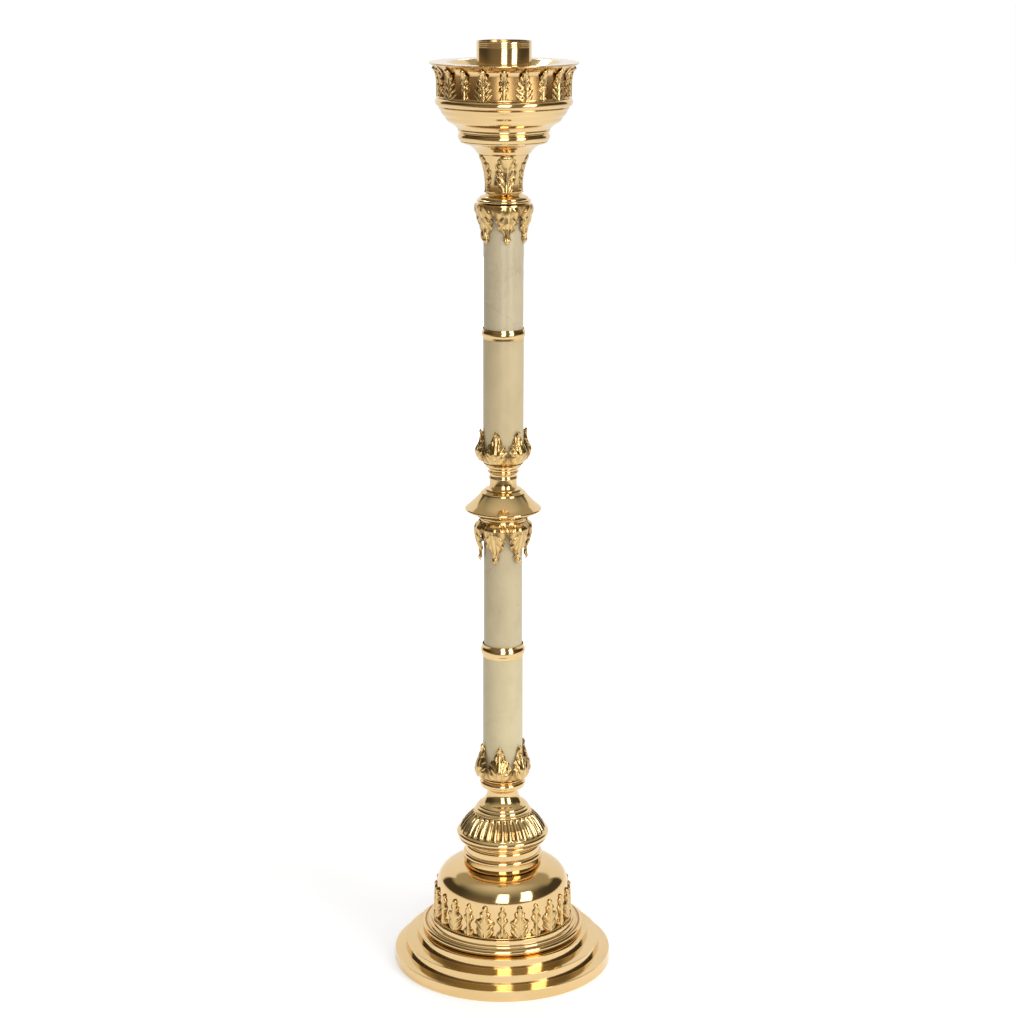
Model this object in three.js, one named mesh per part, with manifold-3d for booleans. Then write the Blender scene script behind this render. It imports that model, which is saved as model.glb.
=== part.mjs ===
// A brass and marble paschal candlestick: a floor stand for one large candle.
// Turned, spun and cast pieces are stacked on a steel tie rod. Millimetres, +Z up,
// with the origin at the middle of the foot, on the floor.

import * as THREE from 'three';
import { mergeVertices } from 'three/addons/utils/BufferGeometryUtils.js';
import Module from 'manifold-3d';

const wasm = await Module();
wasm.setup();

// Clearances and the tie rod
const seatGap = 0.3;
const fitGap = 0.3;
const marbleGap = 0.5;
const rodRadius = 6;
const rodClearance = 0.6;
const rodBore = rodRadius + rodClearance;
const spigotDepth = 3;

// Number of facets round the large turnings, the column and the leaf cups
const largeSides = 24;
const columnSides = 20;
const cupSides = 24;
const rodSides = 12;

// Drum with its domed top, which sets the width of what stands under it
const drumRadius = 81.4;
const drumDraft = 1.2;
const drumTopRadius = drumRadius - drumDraft;
const drumWallHeight = 46;
const domeHeight = 16.8;
const domeShoulder = 10.4;
const domeShoulderRun = 6.4;
const domeTopRadius = 46;
const drumShell = 2.6;
const domeOpening = 36;

// Ring moulding between the drum and the foot
const mouldingReach = 16.9;
const mouldingRadius = drumRadius + mouldingReach;
const grooveDepth = 10.3;
const mouldingGroove = mouldingRadius - grooveDepth;
const mouldingHeight = 16.4;
const mouldingSeat = 5.4;
const mouldingBore = drumRadius - mouldingSeat;

// Foot: three steps, each an upright wall and a nearly level tread
const footRadius = 133.1;
const footWallHeight = 13.4;
const footDraft = 0.5;
const treadRise = 2;
const middleStepRadius = 120;
const middleWallHeight = 12.2;
const topTread = 7.6;
const topStepRadius = mouldingRadius + topTread;
const topWallHeight = 11.4;
const footShell = 3.2;
const footLedge = 3;
const footOpening = mouldingBore + footLedge;

// Leaf band round the drum
const drumLeaves = 24;
const drumBandStrip = 3.4;
const drumLeafDrop = 4.7;
const drumLeafHeight = drumWallHeight - drumLeafDrop;
const drumLeafThickness = 3.8;
const drumLeafGap = 0.7;

// Spool on the dome, the gadrooned knop and its collar
const neckWaist = 43;
const neckRadius = 49.4;
const neckHeight = 36.3;
const neckBore = 36;
const knopRadius = 56.4;
const knopTopRadius = 34.8;
const knopHeight = 33.7;
const knopBore = 26;
const gadroons = 32;
const gadroonDepth = 1.6;
const collarWaist = 19.2;
const collarRadius = 34.4;
const collarHeight = 45;
const collarBore = 13;

// Marble sleeves, each turned to its own radius, and the pieces that hold their ends
const marbleBore = 8;
const marbleRadii = [24, 23.1, 24, 23.4];
const marbleLengths = [156.4, 148.7, 148.4, 141.4];
const cupFloor = 3.3;
const ringGap = 0.3;
const ringWeb = 3.7;
const lowerRingRadius = 26.6;
const lowerRingHeight = 15.8;
const upperRingRadius = 25.9;
const upperRingHeight = 12.3;
const lowerRingPocket = 6.1;
const upperRingPocket = 4.3;

// Cups of six leaves: two stand up, two hang down
const cupLeaves = 6;
const leafRelief = 1;
const leastCupWall = 0.9;
const lowerCalyxWall = 2.3;
const lowerCalyxSpread = 6.4;
const lowerCalyxHeight = 45;
const lowerCapitalWall = 3.8;
const lowerCapitalSpread = 5.7;
const lowerCapitalHeight = 52;
const lowerCapitalBlock = 12.7;
const upperCalyxWall = 2.5;
const upperCalyxSpread = 5.4;
const upperCalyxHeight = 41.7;
const upperCapitalWall = 1.6;
const upperCapitalSpread = 7.6;
const upperCapitalHeight = 47;
const upperCapitalBlock = 8.7;
const cupRing = 0.3;
const cupNotch = 0.62;
const lowerCalyxTurn = -98;
const lowerCapitalTurn = -110;
const upperCalyxTurn = -109;
const upperCapitalTurn = -81.5;

// Saucer and spool in the middle of the column
const saucerRadius = 44.9;
const saucerTop = 23.4;
const saucerHeight = 33.7;
const midNeckWaist = 16.1;
const midNeckRadius = 30.4;
const midNeckHeight = 32.7;
const midBore = 10;
const capitalBore = 13;

// Trumpet neck with four leaves
const vaseWaist = 18.6;
const vaseRadius = 50.2;
const vaseHeight = 69.1;
const vaseBore = 11;
const vaseLeaves = 4;
const vaseLeafTurn = -82;
const vaseLeafStart = 11.6;
const vaseLeafHeight = 42;
const vaseLeafThickness = 1.5;
const vaseLeafNotch = 22;
const vaseLeafSides = 24;

// Bowl, its leaf band, the drip pan and the candle socket
const bowlFoot = 51.2;
const bowlRadius = 77.9;
const bowlHeight = 86.2;
const bowlShell = 2.8;
const bowlFloor = 6;
const bowlLeaves = 20;
const bowlBandStrip = 2.6;
const bowlLeafDrop = 2.85;
const bowlLeafThickness = 1.8;
const bowlLeafGap = 0.9;
const panRadius = 85.2;
const panRimHeight = 1.4;
const panLip = 1;
const panDepth = 13;
const panWall = 2.2;
const dishRadius = 66;
const dishFoot = 36;
const panStepDepth = 2.6;
const panStepWidth = 2.4;
const socketRadius = 31.25;
const socketHeight = 36.1;
const socketBore = 29.8;
const socketFloor = 3;
const socketSpigot = 9;
const socketSpigotDepth = 6;
const socketDrain = 6;

// Fasteners on the tie rod
const plateBearing = 12;
const plateThickness = 4;
const washerRadius = 16;
const washerThickness = 2.5;
const nutRadius = 11;
const nutHeight = 10;
const rodEnd = 6;

// Finishes
const brass = { color: 0xd9b067, roughness: 0.16, metalness: 1 };
const castBrass = { color: 0xc99f57, roughness: 0.3, metalness: 1 };
const steel = { color: 0x9a9a9c, roughness: 0.4, metalness: 1 };
const palemarble = { color: 0xe6e1d2, roughness: 0.12, metalness: 0 };

const candlestick = new THREE.Group();

// Adds one closed piece to the candlestick, with the seam and the corners welded.
function addPiece(name, geometry, finish) {
  geometry.deleteAttribute('normal');
  geometry.deleteAttribute('uv');
  const mesh = new THREE.Mesh(mergeVertices(geometry, 1e-4), new THREE.MeshStandardMaterial(finish));
  mesh.name = name;
  candlestick.add(mesh);
  return mesh;
}

// An outline row is [r, z] or [r, z, bulge]. A bulge turns the stretch that ends at the row
// into an arc that stands out by that share of its chord, or in where it is negative.
function traced(rows, steps = 2) {
  const points = [new THREE.Vector2(rows[0][0], rows[0][1])];
  for (let i = 1; i < rows.length; i += 1) {
    const [r0, z0] = rows[i - 1];
    const [r1, z1, bulge] = rows[i];
    const stretch = bulge ? steps : 1;
    for (let k = 1; k <= stretch; k += 1) {
      const t = k / stretch;
      const out = bulge ? bulge * Math.sin(Math.PI * t) : 0;
      const r = r0 + (r1 - r0) * t + (z1 - z0) * out;
      const z = z0 + (z1 - z0) * t - (r1 - r0) * out;
      points.push(new THREE.Vector2(r, z));
    }
  }
  return points;
}

// Sets a moulding that is drawn in a unit box between two radii, from a base up by a height.
function moulded(rows, inner, outer, base, height) {
  return rows.map(([u, v, bulge]) => [inner + (outer - inner) * u, base + height * v, bulge]);
}

// Turns a closed outline, outside first and from the bottom up, into a solid of revolution.
// The first corner of every ring lies at the start angle, which is the front (-Y) unless given.
function turned(points, sides, start = -90) {
  const loop = [...points, points[0].clone()];
  const geometry = new THREE.LatheGeometry(loop, sides, THREE.MathUtils.degToRad(start + 90));
  geometry.rotateX(Math.PI / 2);
  return geometry;
}

// Moves each corner of a turned solid by its radius, height and angle.
function carved(geometry, move) {
  const position = geometry.attributes.position;
  for (let i = 0; i < position.count; i += 1) {
    const x = position.getX(i);
    const y = position.getY(i);
    const angle = Math.atan2(y, x);
    const [r, z] = move(Math.hypot(x, y), position.getZ(i), angle);
    position.setXYZ(i, r * Math.cos(angle), r * Math.sin(angle), z);
  }
  return geometry;
}

// A stacked hollow turning: its outside, a bore right through and a spigot into the piece below.
function stackedTurning(name, outside, { bore, lowerBore, sides, steps }) {
  const base = outside[0][1];
  const top = outside[outside.length - 1][1];
  const spigot = lowerBore - fitGap;
  const rows = [[bore, base - spigotDepth], [spigot, base - spigotDepth], [spigot, base], ...outside, [bore, top]];
  addPiece(name, turned(traced(rows, steps), sides), brass);
}

// Joins closed geometries into one solid.
function joined(pieces) {
  const solids = pieces.map((geometry) => {
    geometry.deleteAttribute('normal');
    geometry.deleteAttribute('uv');
    const merged = mergeVertices(geometry, 1e-4);
    const mesh = new wasm.Mesh({
      numProp: 3,
      vertProperties: new Float32Array(merged.attributes.position.array),
      triVerts: new Uint32Array(merged.index.array),
    });
    return new wasm.Manifold(mesh);
  });
  const whole = solids.reduce((sum, solid) => sum.add(solid));
  const out = whole.getMesh();
  const geometry = new THREE.BufferGeometry();
  geometry.setAttribute('position', new THREE.BufferAttribute(new Float32Array(out.vertProperties), 3));
  geometry.setIndex(new THREE.BufferAttribute(new Uint32Array(out.triVerts), 1));
  return geometry;
}

// Levels of the stack, from the floor up
const middleTread = footWallHeight + treadRise + middleWallHeight;
const footHeight = middleTread + treadRise + topWallHeight;
const mouldingBase = footHeight + seatGap;
const drumBase = mouldingBase + mouldingHeight + seatGap;
const domeTop = drumBase + drumWallHeight + domeHeight;
const neckBase = domeTop + seatGap;
const knopBase = neckBase + neckHeight + seatGap;
const collarBase = knopBase + knopHeight + seatGap;
const lowerCalyxBase = collarBase + collarHeight + seatGap;
const marbleBases = [lowerCalyxBase + cupFloor + seatGap];
const lowerRingWebBase = marbleBases[0] + marbleLengths[0] + seatGap;
marbleBases.push(lowerRingWebBase + ringWeb + seatGap);
const lowerCapitalWebBase = marbleBases[1] + marbleLengths[1] + seatGap;
const lowerCapitalTop = lowerCapitalWebBase + lowerCapitalBlock;
const saucerBase = lowerCapitalTop + seatGap;
const midNeckBase = saucerBase + saucerHeight + seatGap;
const upperCalyxBase = midNeckBase + midNeckHeight + seatGap;
marbleBases.push(upperCalyxBase + cupFloor + seatGap);
const upperRingWebBase = marbleBases[2] + marbleLengths[2] + seatGap;
marbleBases.push(upperRingWebBase + ringWeb + seatGap);
const upperCapitalWebBase = marbleBases[3] + marbleLengths[3] + seatGap;
const upperCapitalTop = upperCapitalWebBase + upperCapitalBlock;
const vaseBase = upperCapitalTop + seatGap;
const bowlBase = vaseBase + vaseHeight + seatGap;
const bowlTop = bowlBase + bowlHeight;

// Stepped foot, spun hollow, with a flange on top that carries the ring moulding.
function makeFoot() {
  const outside = [
    [footRadius, 0],
    [footRadius - footDraft, footWallHeight],
    [middleStepRadius, footWallHeight + treadRise],
    [middleStepRadius - footDraft, middleTread],
    [topStepRadius, middleTread + treadRise],
    [topStepRadius - footDraft, footHeight],
    [footOpening, footHeight],
  ];
  const under = footHeight - footShell;
  const middleUnder = middleTread - footShell;
  const lowUnder = footWallHeight - footShell;
  const inside = [
    [footOpening, under],
    [topStepRadius - footShell, under],
    [topStepRadius - footShell, middleUnder],
    [middleStepRadius - footShell, middleUnder],
    [middleStepRadius - footShell, lowUnder],
    [footRadius - footDraft - footShell, lowUnder],
    [footRadius - footShell, 0],
  ];
  addPiece('foot', turned(traced([...outside, ...inside]), largeSides), brass);
}

// Ring with a round band, a cove, a fillet and a wall that the drum and its leaves stand on.
function makeFootMoulding() {
  const profile = [
    [0.78, 0], [0.93, 0.1], [1, 0.27], [0.93, 0.42], [0.74, 0.48], [0.37, 0.57], [0.35, 0.63],
    [0.12, 0.68], [0.06, 0.74], [0, 1],
  ];
  const outside = moulded(profile, mouldingGroove, mouldingRadius, mouldingBase, mouldingHeight);
  stackedTurning('foot_moulding', outside, { bore: mouldingBore, lowerBore: footOpening, sides: largeSides });
}

// Spun drum: a nearly upright wall, a round shoulder and a low dome with an opening.
function makeDrum() {
  const wallTop = drumBase + drumWallHeight;
  const shoulderTop = domeTop - (domeHeight - domeShoulder);
  const shoulderRadius = drumTopRadius - domeShoulderRun;
  const spigot = mouldingBore - fitGap;
  const below = drumBase - spigotDepth;
  const rows = [
    [spigot - drumShell, below], [spigot, below], [spigot, drumBase],
    [drumRadius, drumBase], [drumTopRadius, wallTop],
    [shoulderRadius, shoulderTop, 0.24],
    [domeTopRadius, domeTop],
    [domeOpening, domeTop],
    [domeOpening, domeTop - drumShell],
    [shoulderRadius - drumShell * 0.4, shoulderTop - drumShell],
    [drumTopRadius - drumShell, wallTop],
    [drumRadius - drumShell, drumBase + drumShell],
    [spigot - drumShell, drumBase + drumShell],
  ];
  addPiece('drum', turned(traced(rows), largeSides), brass);
}

// Upright leaf outline: each row gives half the width, as a share of the leaf's half pitch,
// and the height as a share of the leaf's height. The lobes alternate with notches.
const largeLeaf = [[0.97, 0], [0.8, 0.2], [0.96, 0.34], [0.62, 0.5], [0.74, 0.66], [0.54, 0.9], [0.24, 1]];
const smallLeaf = [[0.6, 0], [0.3, 0.26], [0.6, 0.5], [0.38, 0.74], [0.2, 1]];

// One leaf of a band: a plate between its outline and a raised midrib, wrapped round the axis.
function wrappedLeaf(outline, { turn, halfPitch, base, height, back, thickness }) {
  const shape = new THREE.Shape();
  outline.forEach(([w, h], i) => {
    if (i === 0) shape.moveTo(w, h);
    else shape.lineTo(w, h);
  });
  [...outline].reverse().forEach(([w, h]) => shape.lineTo(-w, h));
  const geometry = new THREE.ExtrudeGeometry(shape, { depth: 1, bevelEnabled: false });
  const position = geometry.attributes.position;
  for (let i = 0; i < position.count; i += 1) {
    const level = position.getY(i);
    const front = position.getZ(i);
    const angle = turn + position.getX(i) * halfPitch;
    const r = back(level) + front * thickness;
    position.setXYZ(i, r * Math.cos(angle), r * Math.sin(angle), base + level * height);
  }
  return geometry;
}

// A cast band: leaves in turn large and small, joined by a strip at their feet.
function makeLeafBand(name, { leaves, base, strip, height, back, thickness, start }) {
  const halfPitch = Math.PI / leaves;
  const inner = back(0);
  const outer = inner + thickness;
  const rows = [[inner, base], [outer, base], [outer, base + strip], [inner, base + strip]];
  const pieces = [turned(traced(rows), leaves, THREE.MathUtils.radToDeg(start - halfPitch))];
  for (let i = 0; i < leaves; i += 1) {
    const small = i % 2 === 0;
    pieces.push(wrappedLeaf(small ? smallLeaf : largeLeaf, {
      turn: start + i * 2 * halfPitch,
      halfPitch,
      base: base + strip / 2,
      height: (height - strip / 2) * (small ? 0.96 : 1),
      back,
      thickness: small ? thickness * 0.75 : thickness * 0.9,
    }));
  }
  addPiece(name, joined(pieces), castBrass);
}

// Spool with coves on both sides of a round band, and a lip above.
function makeDrumNeck() {
  const profile = [
    [0.25, 0], [0, 0.16], [0.5, 0.18], [0.98, 0.27], [0.92, 0.38], [0.47, 0.455], [0.2, 0.475],
    [0.25, 0.63], [0.44, 0.65], [0.41, 0.75], [0.19, 0.775], [0.34, 0.89], [0.69, 1],
  ];
  const outside = moulded(profile, neckWaist, neckRadius, neckBase, neckHeight);
  stackedTurning('drum_neck', outside, { bore: neckBore, lowerBore: domeOpening, sides: largeSides });
}

// Knop with a small ring and a bead round its rim, and hollow flutes over its upper side.
function makeKnop() {
  const profile = [[0.84, 0], [1, 0.2], [0.86, 0.34], [0.62, 0.64], [0, 1]];
  const outside = moulded(profile, knopTopRadius, knopRadius, knopBase, knopHeight);
  const fluteStart = knopBase + knopHeight * 0.36;
  const fluteEnd = knopBase + knopHeight * 0.98;
  const below = knopBase - spigotDepth;
  const spigot = neckBore - fitGap * 2;
  const top = knopBase + knopHeight;
  const rows = [[knopBore, below], [spigot, below], [spigot, knopBase], ...outside, [knopBore, top]];
  const body = turned(traced(rows), gadroons * 2);
  carved(body, (r, z, angle) => {
    const groove = (1 - Math.cos(angle * gadroons)) / 2;
    const fluted = r > knopBore + fitGap && z > fluteStart && z < fluteEnd;
    return [fluted ? r - groove * gadroonDepth : r, z];
  });
  addPiece('gadrooned_knop', body, brass);
}

// Waisted collar: small steps, a deep cove, a thin waist and a round collar under the leaves.
function makeKnopCollar() {
  const profile = [
    [0.99, 0], [0.97, 0.055], [0.82, 0.15], [0.74, 0.165], [0.63, 0.23],
    [0.03, 0.49, -0.12], [0, 0.6], [0.34, 0.74, -0.15], [0.46, 0.76], [0.53, 1],
  ];
  const outside = moulded(profile, collarWaist, collarRadius, collarBase, collarHeight);
  stackedTurning('knop_collar', outside, { bore: collarBore, lowerBore: knopBore, sides: columnSides });
}

// A cup of six leaves round the end of a marble sleeve. Its free edge is notched between the
// leaves, and each leaf has a raised middle. The mirrored cup hangs down.
function makeLeafCup(name, { profile, wall, spread, base, height, marble, floor, bore, turn, hangs }) {
  const span = hangs ? -height : height;
  const pocket = marble + marbleGap;
  const outside = moulded(profile, pocket + wall, pocket + wall + spread, base, span);
  const brim = base + span;
  const deep = base + (hangs ? -floor : floor);
  const rows = [...outside, [pocket, brim], [pocket, deep], [bore, deep], [bore, base]];
  const points = traced(rows);
  if (hangs) points.reverse();
  const cup = turned(points, cupSides, turn);
  const leafTurn = THREE.MathUtils.degToRad(turn);
  const edgeStart = base + span * cupRing;
  carved(cup, (r, z, angle) => {
    const middle = (1 + Math.cos((angle - leafTurn) * cupLeaves)) / 2;
    const along = Math.max(0, (z - edgeStart) / (brim - edgeStart));
    const lowered = z - span * cupNotch * along * (1 - middle);
    const relief = r > pocket + 0.01 ? leafRelief * (middle - 0.5) * Math.min(1, along * 3) : 0;
    return [Math.max(r + relief, Math.min(r, pocket + leastCupWall)), r > bore + 0.01 ? lowered : z];
  });
  addPiece(name, cup, castBrass);
}

function makeMarble(index) {
  const base = marbleBases[index];
  const top = base + marbleLengths[index];
  const r = marbleRadii[index];
  const rows = [[r, base], [r, top], [marbleBore, top], [marbleBore, base]];
  addPiece(`marble_${index + 1}`, turned(traced(rows), columnSides), palemarble);
}

// Brass ring with a pocket on each side for a marble end and a web between them.
function makeMarbleRing(name, { profile, radius, height, webBase, pocket, below, above }) {
  const base = webBase - pocket;
  const inner = Math.max(below, above) + ringGap;
  const outside = moulded(profile, inner, radius, base, height);
  const top = base + height;
  const rows = [
    ...outside,
    [above + ringGap, top], [above + ringGap, webBase + ringWeb],
    [rodBore, webBase + ringWeb], [rodBore, webBase],
    [below + ringGap, webBase], [below + ringGap, base],
  ];
  addPiece(name, turned(traced(rows), columnSides), brass);
}

// Saucer: a plain underside, a thin round edge and an ogee top with a small step.
function makeSaucer() {
  const profile = [
    [0.2, 0], [0.88, 0.235], [1, 0.3], [0.97, 0.375], [0.18, 0.865], [0.1, 0.94], [0, 1],
  ];
  const outside = moulded(profile, saucerTop, saucerRadius, saucerBase, saucerHeight);
  stackedTurning('mid_saucer', outside, { bore: midBore, lowerBore: capitalBore, sides: columnSides });
}

// Spool above the saucer: a thin waist and three rings that widen to the leaf cup.
function makeMidNeck() {
  const profile = [
    [0.36, 0], [0.31, 0.05], [0.05, 0.085], [0.01, 0.36], [0.22, 0.43], [0.2, 0.51],
    [0.33, 0.62], [0.52, 0.74], [0.62, 0.76], [0.82, 0.88], [1, 1],
  ];
  const outside = moulded(profile, midNeckWaist, midNeckRadius, midNeckBase, midNeckHeight);
  stackedTurning('mid_neck', outside, { bore: rodBore, lowerBore: midBore, sides: columnSides });
}

const vaseProfile = [
  [0.39, 0], [0.04, 0.135, -0.22], [0.01, 0.185], [0.03, 0.415], [0.18, 0.675], [0.28, 0.775],
  [0.34, 0.79], [0.44, 0.85], [0.91, 0.965, -0.1], [1, 1],
];

// The radius of a traced outline at a height.
function radiusOn(points, z) {
  const found = points.findIndex((point, i) => i > 0 && point.y >= z);
  const above = found < 0 ? points.length - 1 : found;
  const [a, b] = [points[above - 1], points[above]];
  return a.x + (b.x - a.x) * (z - a.y) / (b.y - a.y);
}

const vaseOutline = traced(moulded(vaseProfile, vaseWaist, vaseRadius, vaseBase, vaseHeight));
const vaseRadiusAt = (z) => radiusOn(vaseOutline, z);

function makeVaseNeck() {
  const outside = moulded(vaseProfile, vaseWaist, vaseRadius, vaseBase, vaseHeight);
  stackedTurning('vase_neck', outside, { bore: rodBore, lowerBore: vaseBore, sides: columnSides });
}

// Cast sleeve of four acanthus leaves that follows the trumpet and is notched between them.
function makeVaseCalyx() {
  const base = vaseBase + vaseLeafStart;
  const levels = [0, 0.33, 0.67, 1];
  const outside = levels.map((t) => {
    const z = base + vaseLeafHeight * t;
    return [vaseRadiusAt(z) + fitGap * 2 + vaseLeafThickness * (1 - 0.4 * t), z];
  });
  const inside = [...levels].reverse().map((t) => {
    const z = base + vaseLeafHeight * t;
    return [vaseRadiusAt(z) + fitGap * 2, z];
  });
  const sleeve = turned(traced([...outside, ...inside]), vaseLeafSides, vaseLeafTurn);
  const leafTurn = THREE.MathUtils.degToRad(vaseLeafTurn);
  carved(sleeve, (r, z, angle) => {
    const middle = (1 + Math.cos((angle - leafTurn) * vaseLeaves)) / 2;
    const along = (z - base) / vaseLeafHeight;
    const lowered = z - vaseLeafNotch * along * (1 - middle);
    return [r + vaseRadiusAt(lowered) - vaseRadiusAt(z), lowered];
  });
  addPiece('vase_calyx', sleeve, castBrass);
}

// Bowl: a bead, a stepped ogee underside, a second bead and a leafed wall that flares.
const bowlProfile = [
  [-0.03, 0], [0.08, 0.057], [-0.01, 0.11], [0.05, 0.153], [0.41, 0.239], [0.61, 0.315],
  [0.82, 0.401], [0.94, 0.463], [0.97, 0.506], [0.92, 0.544], [0.85, 0.554], [0.83, 0.879],
];

const bowlOutside = moulded(bowlProfile, bowlFoot, bowlRadius, bowlBase, bowlHeight);
const bowlLedge = bowlOutside[bowlOutside.length - 2][1];
const [bowlWall, bowlCrease] = bowlOutside[bowlOutside.length - 1];
const bowlRim = panRadius - panLip;
bowlOutside.push([bowlRim, bowlTop, -0.08]);
const bowlMouth = traced([[bowlWall - bowlShell, bowlCrease], [bowlRim - bowlShell, bowlTop, -0.08]]);

function makeBowl() {
  const rows = [
    [rodBore, bowlBase], ...bowlOutside,
    [bowlRim - bowlShell, bowlTop],
    [bowlWall - bowlShell, bowlCrease, 0.08],
    [bowlWall - bowlShell, bowlBase + bowlHeight * 0.535],
    [bowlFoot + bowlShell * 3, bowlBase + bowlHeight * 0.286],
    [bowlFoot - bowlShell, bowlBase + bowlFloor],
    [rodBore, bowlBase + bowlFloor],
  ];
  addPiece('bowl', turned(traced(rows), largeSides), brass);
}

// Drip pan: a level ring on the bowl's edge, a hollow dish and a step that fits the bowl's mouth.
function makeDripPan() {
  const rimBase = bowlTop + seatGap;
  const rimTop = rimBase + panRimHeight;
  const floorTop = rimTop - panDepth;
  const hole = socketSpigot + fitGap;
  const stepBase = rimBase - panStepDepth;
  const step = radiusOn(bowlMouth, stepBase) - fitGap * 2;
  const rows = [
    [hole, floorTop - panWall], [dishFoot + panWall * 0.4, floorTop - panWall],
    [dishRadius + panWall, rimBase, 0.04], [step - panStepWidth, rimBase],
    [step - panStepWidth, stepBase], [step, stepBase], [step, rimBase],
    [panRadius, rimBase], [panRadius, rimTop],
    [dishRadius, rimTop], [dishFoot, floorTop, -0.04],
    [hole, floorTop],
  ];
  addPiece('drip_pan', turned(traced(rows), largeSides), brass);
  return floorTop;
}

// Candle socket: a plain tube with a floor, fine turned lines and a spigot into the pan.
function makeCandleSocket(floorTop) {
  const base = floorTop + seatGap;
  const top = base + socketHeight;
  const below = base - socketSpigotDepth;
  const rows = [
    [socketDrain, below], [socketSpigot, below], [socketSpigot, base],
    [socketRadius, base], [socketRadius, top], [socketBore, top],
    [socketBore, base + socketFloor], [socketDrain, base + socketFloor],
  ];
  addPiece('candle_socket', turned(traced(rows), largeSides), brass);
}

function makeNut(name, base) {
  const shape = new THREE.Shape();
  for (let i = 0; i < 6; i += 1) {
    const angle = (i * Math.PI) / 3;
    const x = nutRadius * Math.cos(angle);
    const y = nutRadius * Math.sin(angle);
    if (i === 0) shape.moveTo(x, y);
    else shape.lineTo(x, y);
  }
  const hole = new THREE.Path();
  hole.absarc(0, 0, rodBore, 0, Math.PI * 2, true);
  shape.holes.push(hole);
  const nut = new THREE.ExtrudeGeometry(shape, { depth: nutHeight, bevelEnabled: false, curveSegments: rodSides / 2 });
  nut.translate(0, 0, base);
  addPiece(name, nut, steel);
}

function makeWasher(name, radius, thickness, base, sides = rodSides) {
  const rows = [[rodBore, base], [radius, base], [radius, base + thickness], [rodBore, base + thickness]];
  addPiece(name, turned(traced(rows), sides), steel);
}

// Tie rod with its clamp plate, washers and nuts.
function makeTieRod() {
  const plateTop = footHeight - footShell - seatGap;
  const plateBase = plateTop - plateThickness;
  const washerBase = plateBase - seatGap - washerThickness;
  const nutBase = washerBase - seatGap - nutHeight;
  makeWasher('clamp_plate', footOpening + plateBearing, plateThickness, plateBase, largeSides);
  makeWasher('base_washer', washerRadius, washerThickness, washerBase);
  makeNut('base_nut', nutBase);
  const topWasherBase = bowlBase + bowlFloor + seatGap;
  const topNutBase = topWasherBase + washerThickness + seatGap;
  makeWasher('top_washer', washerRadius, washerThickness, topWasherBase);
  makeNut('top_nut', topNutBase);
  const rodBase = nutBase - rodEnd;
  const rodTop = topNutBase + nutHeight + rodEnd;
  const rod = new THREE.CylinderGeometry(rodRadius, rodRadius, rodTop - rodBase, rodSides);
  rod.rotateX(Math.PI / 2);
  rod.translate(0, 0, (rodBase + rodTop) / 2);
  addPiece('tie_rod', rod, steel);
}

const lowerCalyxProfile = [[0.09, 0], [1, 0.23, 0.12], [0.8, 0.42], [0.2, 0.7], [0.02, 1]];
const upperCalyxProfile = [[0.67, 0], [1, 0.1], [0.78, 0.3], [0.1, 0.6], [0.04, 1]];
const lowerCapitalProfile = [
  [0.14, 0], [0.18, 0.12], [0.7, 0.175], [1, 0.27], [0.79, 0.41], [0.4, 0.6], [0.04, 0.72], [0.1, 1],
];
const upperCapitalProfile = [[0.78, 0], [1, 0.12], [0.75, 0.32], [0.58, 0.48], [0.25, 0.6], [0, 1]];
const ringProfile = [[0.4, 0], [1, 0.35], [1, 0.65], [0.4, 1]];

makeFoot();
makeFootMoulding();
makeDrum();
makeLeafBand('drum_leaf_band', {
  leaves: drumLeaves,
  base: drumBase,
  strip: drumBandStrip,
  height: drumLeafHeight,
  back: (level) => drumRadius + fitGap + drumLeafGap - (drumRadius - drumTopRadius) * level * 0.7,
  thickness: drumLeafThickness,
  start: -Math.PI / 2,
});
makeDrumNeck();
makeKnop();
makeKnopCollar();
makeLeafCup('lower_calyx', {
  profile: lowerCalyxProfile,
  wall: lowerCalyxWall,
  spread: lowerCalyxSpread,
  base: lowerCalyxBase,
  height: lowerCalyxHeight,
  marble: marbleRadii[0],
  floor: cupFloor,
  bore: rodBore,
  turn: lowerCalyxTurn,
  hangs: false,
});
marbleRadii.forEach((radius, index) => makeMarble(index));
makeMarbleRing('lower_ring', {
  profile: ringProfile,
  radius: lowerRingRadius,
  height: lowerRingHeight,
  webBase: lowerRingWebBase,
  pocket: lowerRingPocket,
  below: marbleRadii[0],
  above: marbleRadii[1],
});
makeLeafCup('lower_capital', {
  profile: lowerCapitalProfile,
  wall: lowerCapitalWall,
  spread: lowerCapitalSpread,
  base: lowerCapitalTop,
  height: lowerCapitalHeight,
  marble: marbleRadii[1],
  floor: lowerCapitalBlock,
  bore: capitalBore,
  turn: lowerCapitalTurn,
  hangs: true,
});
makeSaucer();
makeMidNeck();
makeLeafCup('upper_calyx', {
  profile: upperCalyxProfile,
  wall: upperCalyxWall,
  spread: upperCalyxSpread,
  base: upperCalyxBase,
  height: upperCalyxHeight,
  marble: marbleRadii[2],
  floor: cupFloor,
  bore: rodBore,
  turn: upperCalyxTurn,
  hangs: false,
});
makeMarbleRing('upper_ring', {
  profile: ringProfile,
  radius: upperRingRadius,
  height: upperRingHeight,
  webBase: upperRingWebBase,
  pocket: upperRingPocket,
  below: marbleRadii[2],
  above: marbleRadii[3],
});
makeLeafCup('upper_capital', {
  profile: upperCapitalProfile,
  wall: upperCapitalWall,
  spread: upperCapitalSpread,
  base: upperCapitalTop,
  height: upperCapitalHeight,
  marble: marbleRadii[3],
  floor: upperCapitalBlock,
  bore: vaseBore,
  turn: upperCapitalTurn,
  hangs: true,
});
makeVaseNeck();
makeVaseCalyx();
makeBowl();
const bowlOutline = traced(bowlOutside);
const bowlBandBase = bowlLedge + seatGap;
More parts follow.
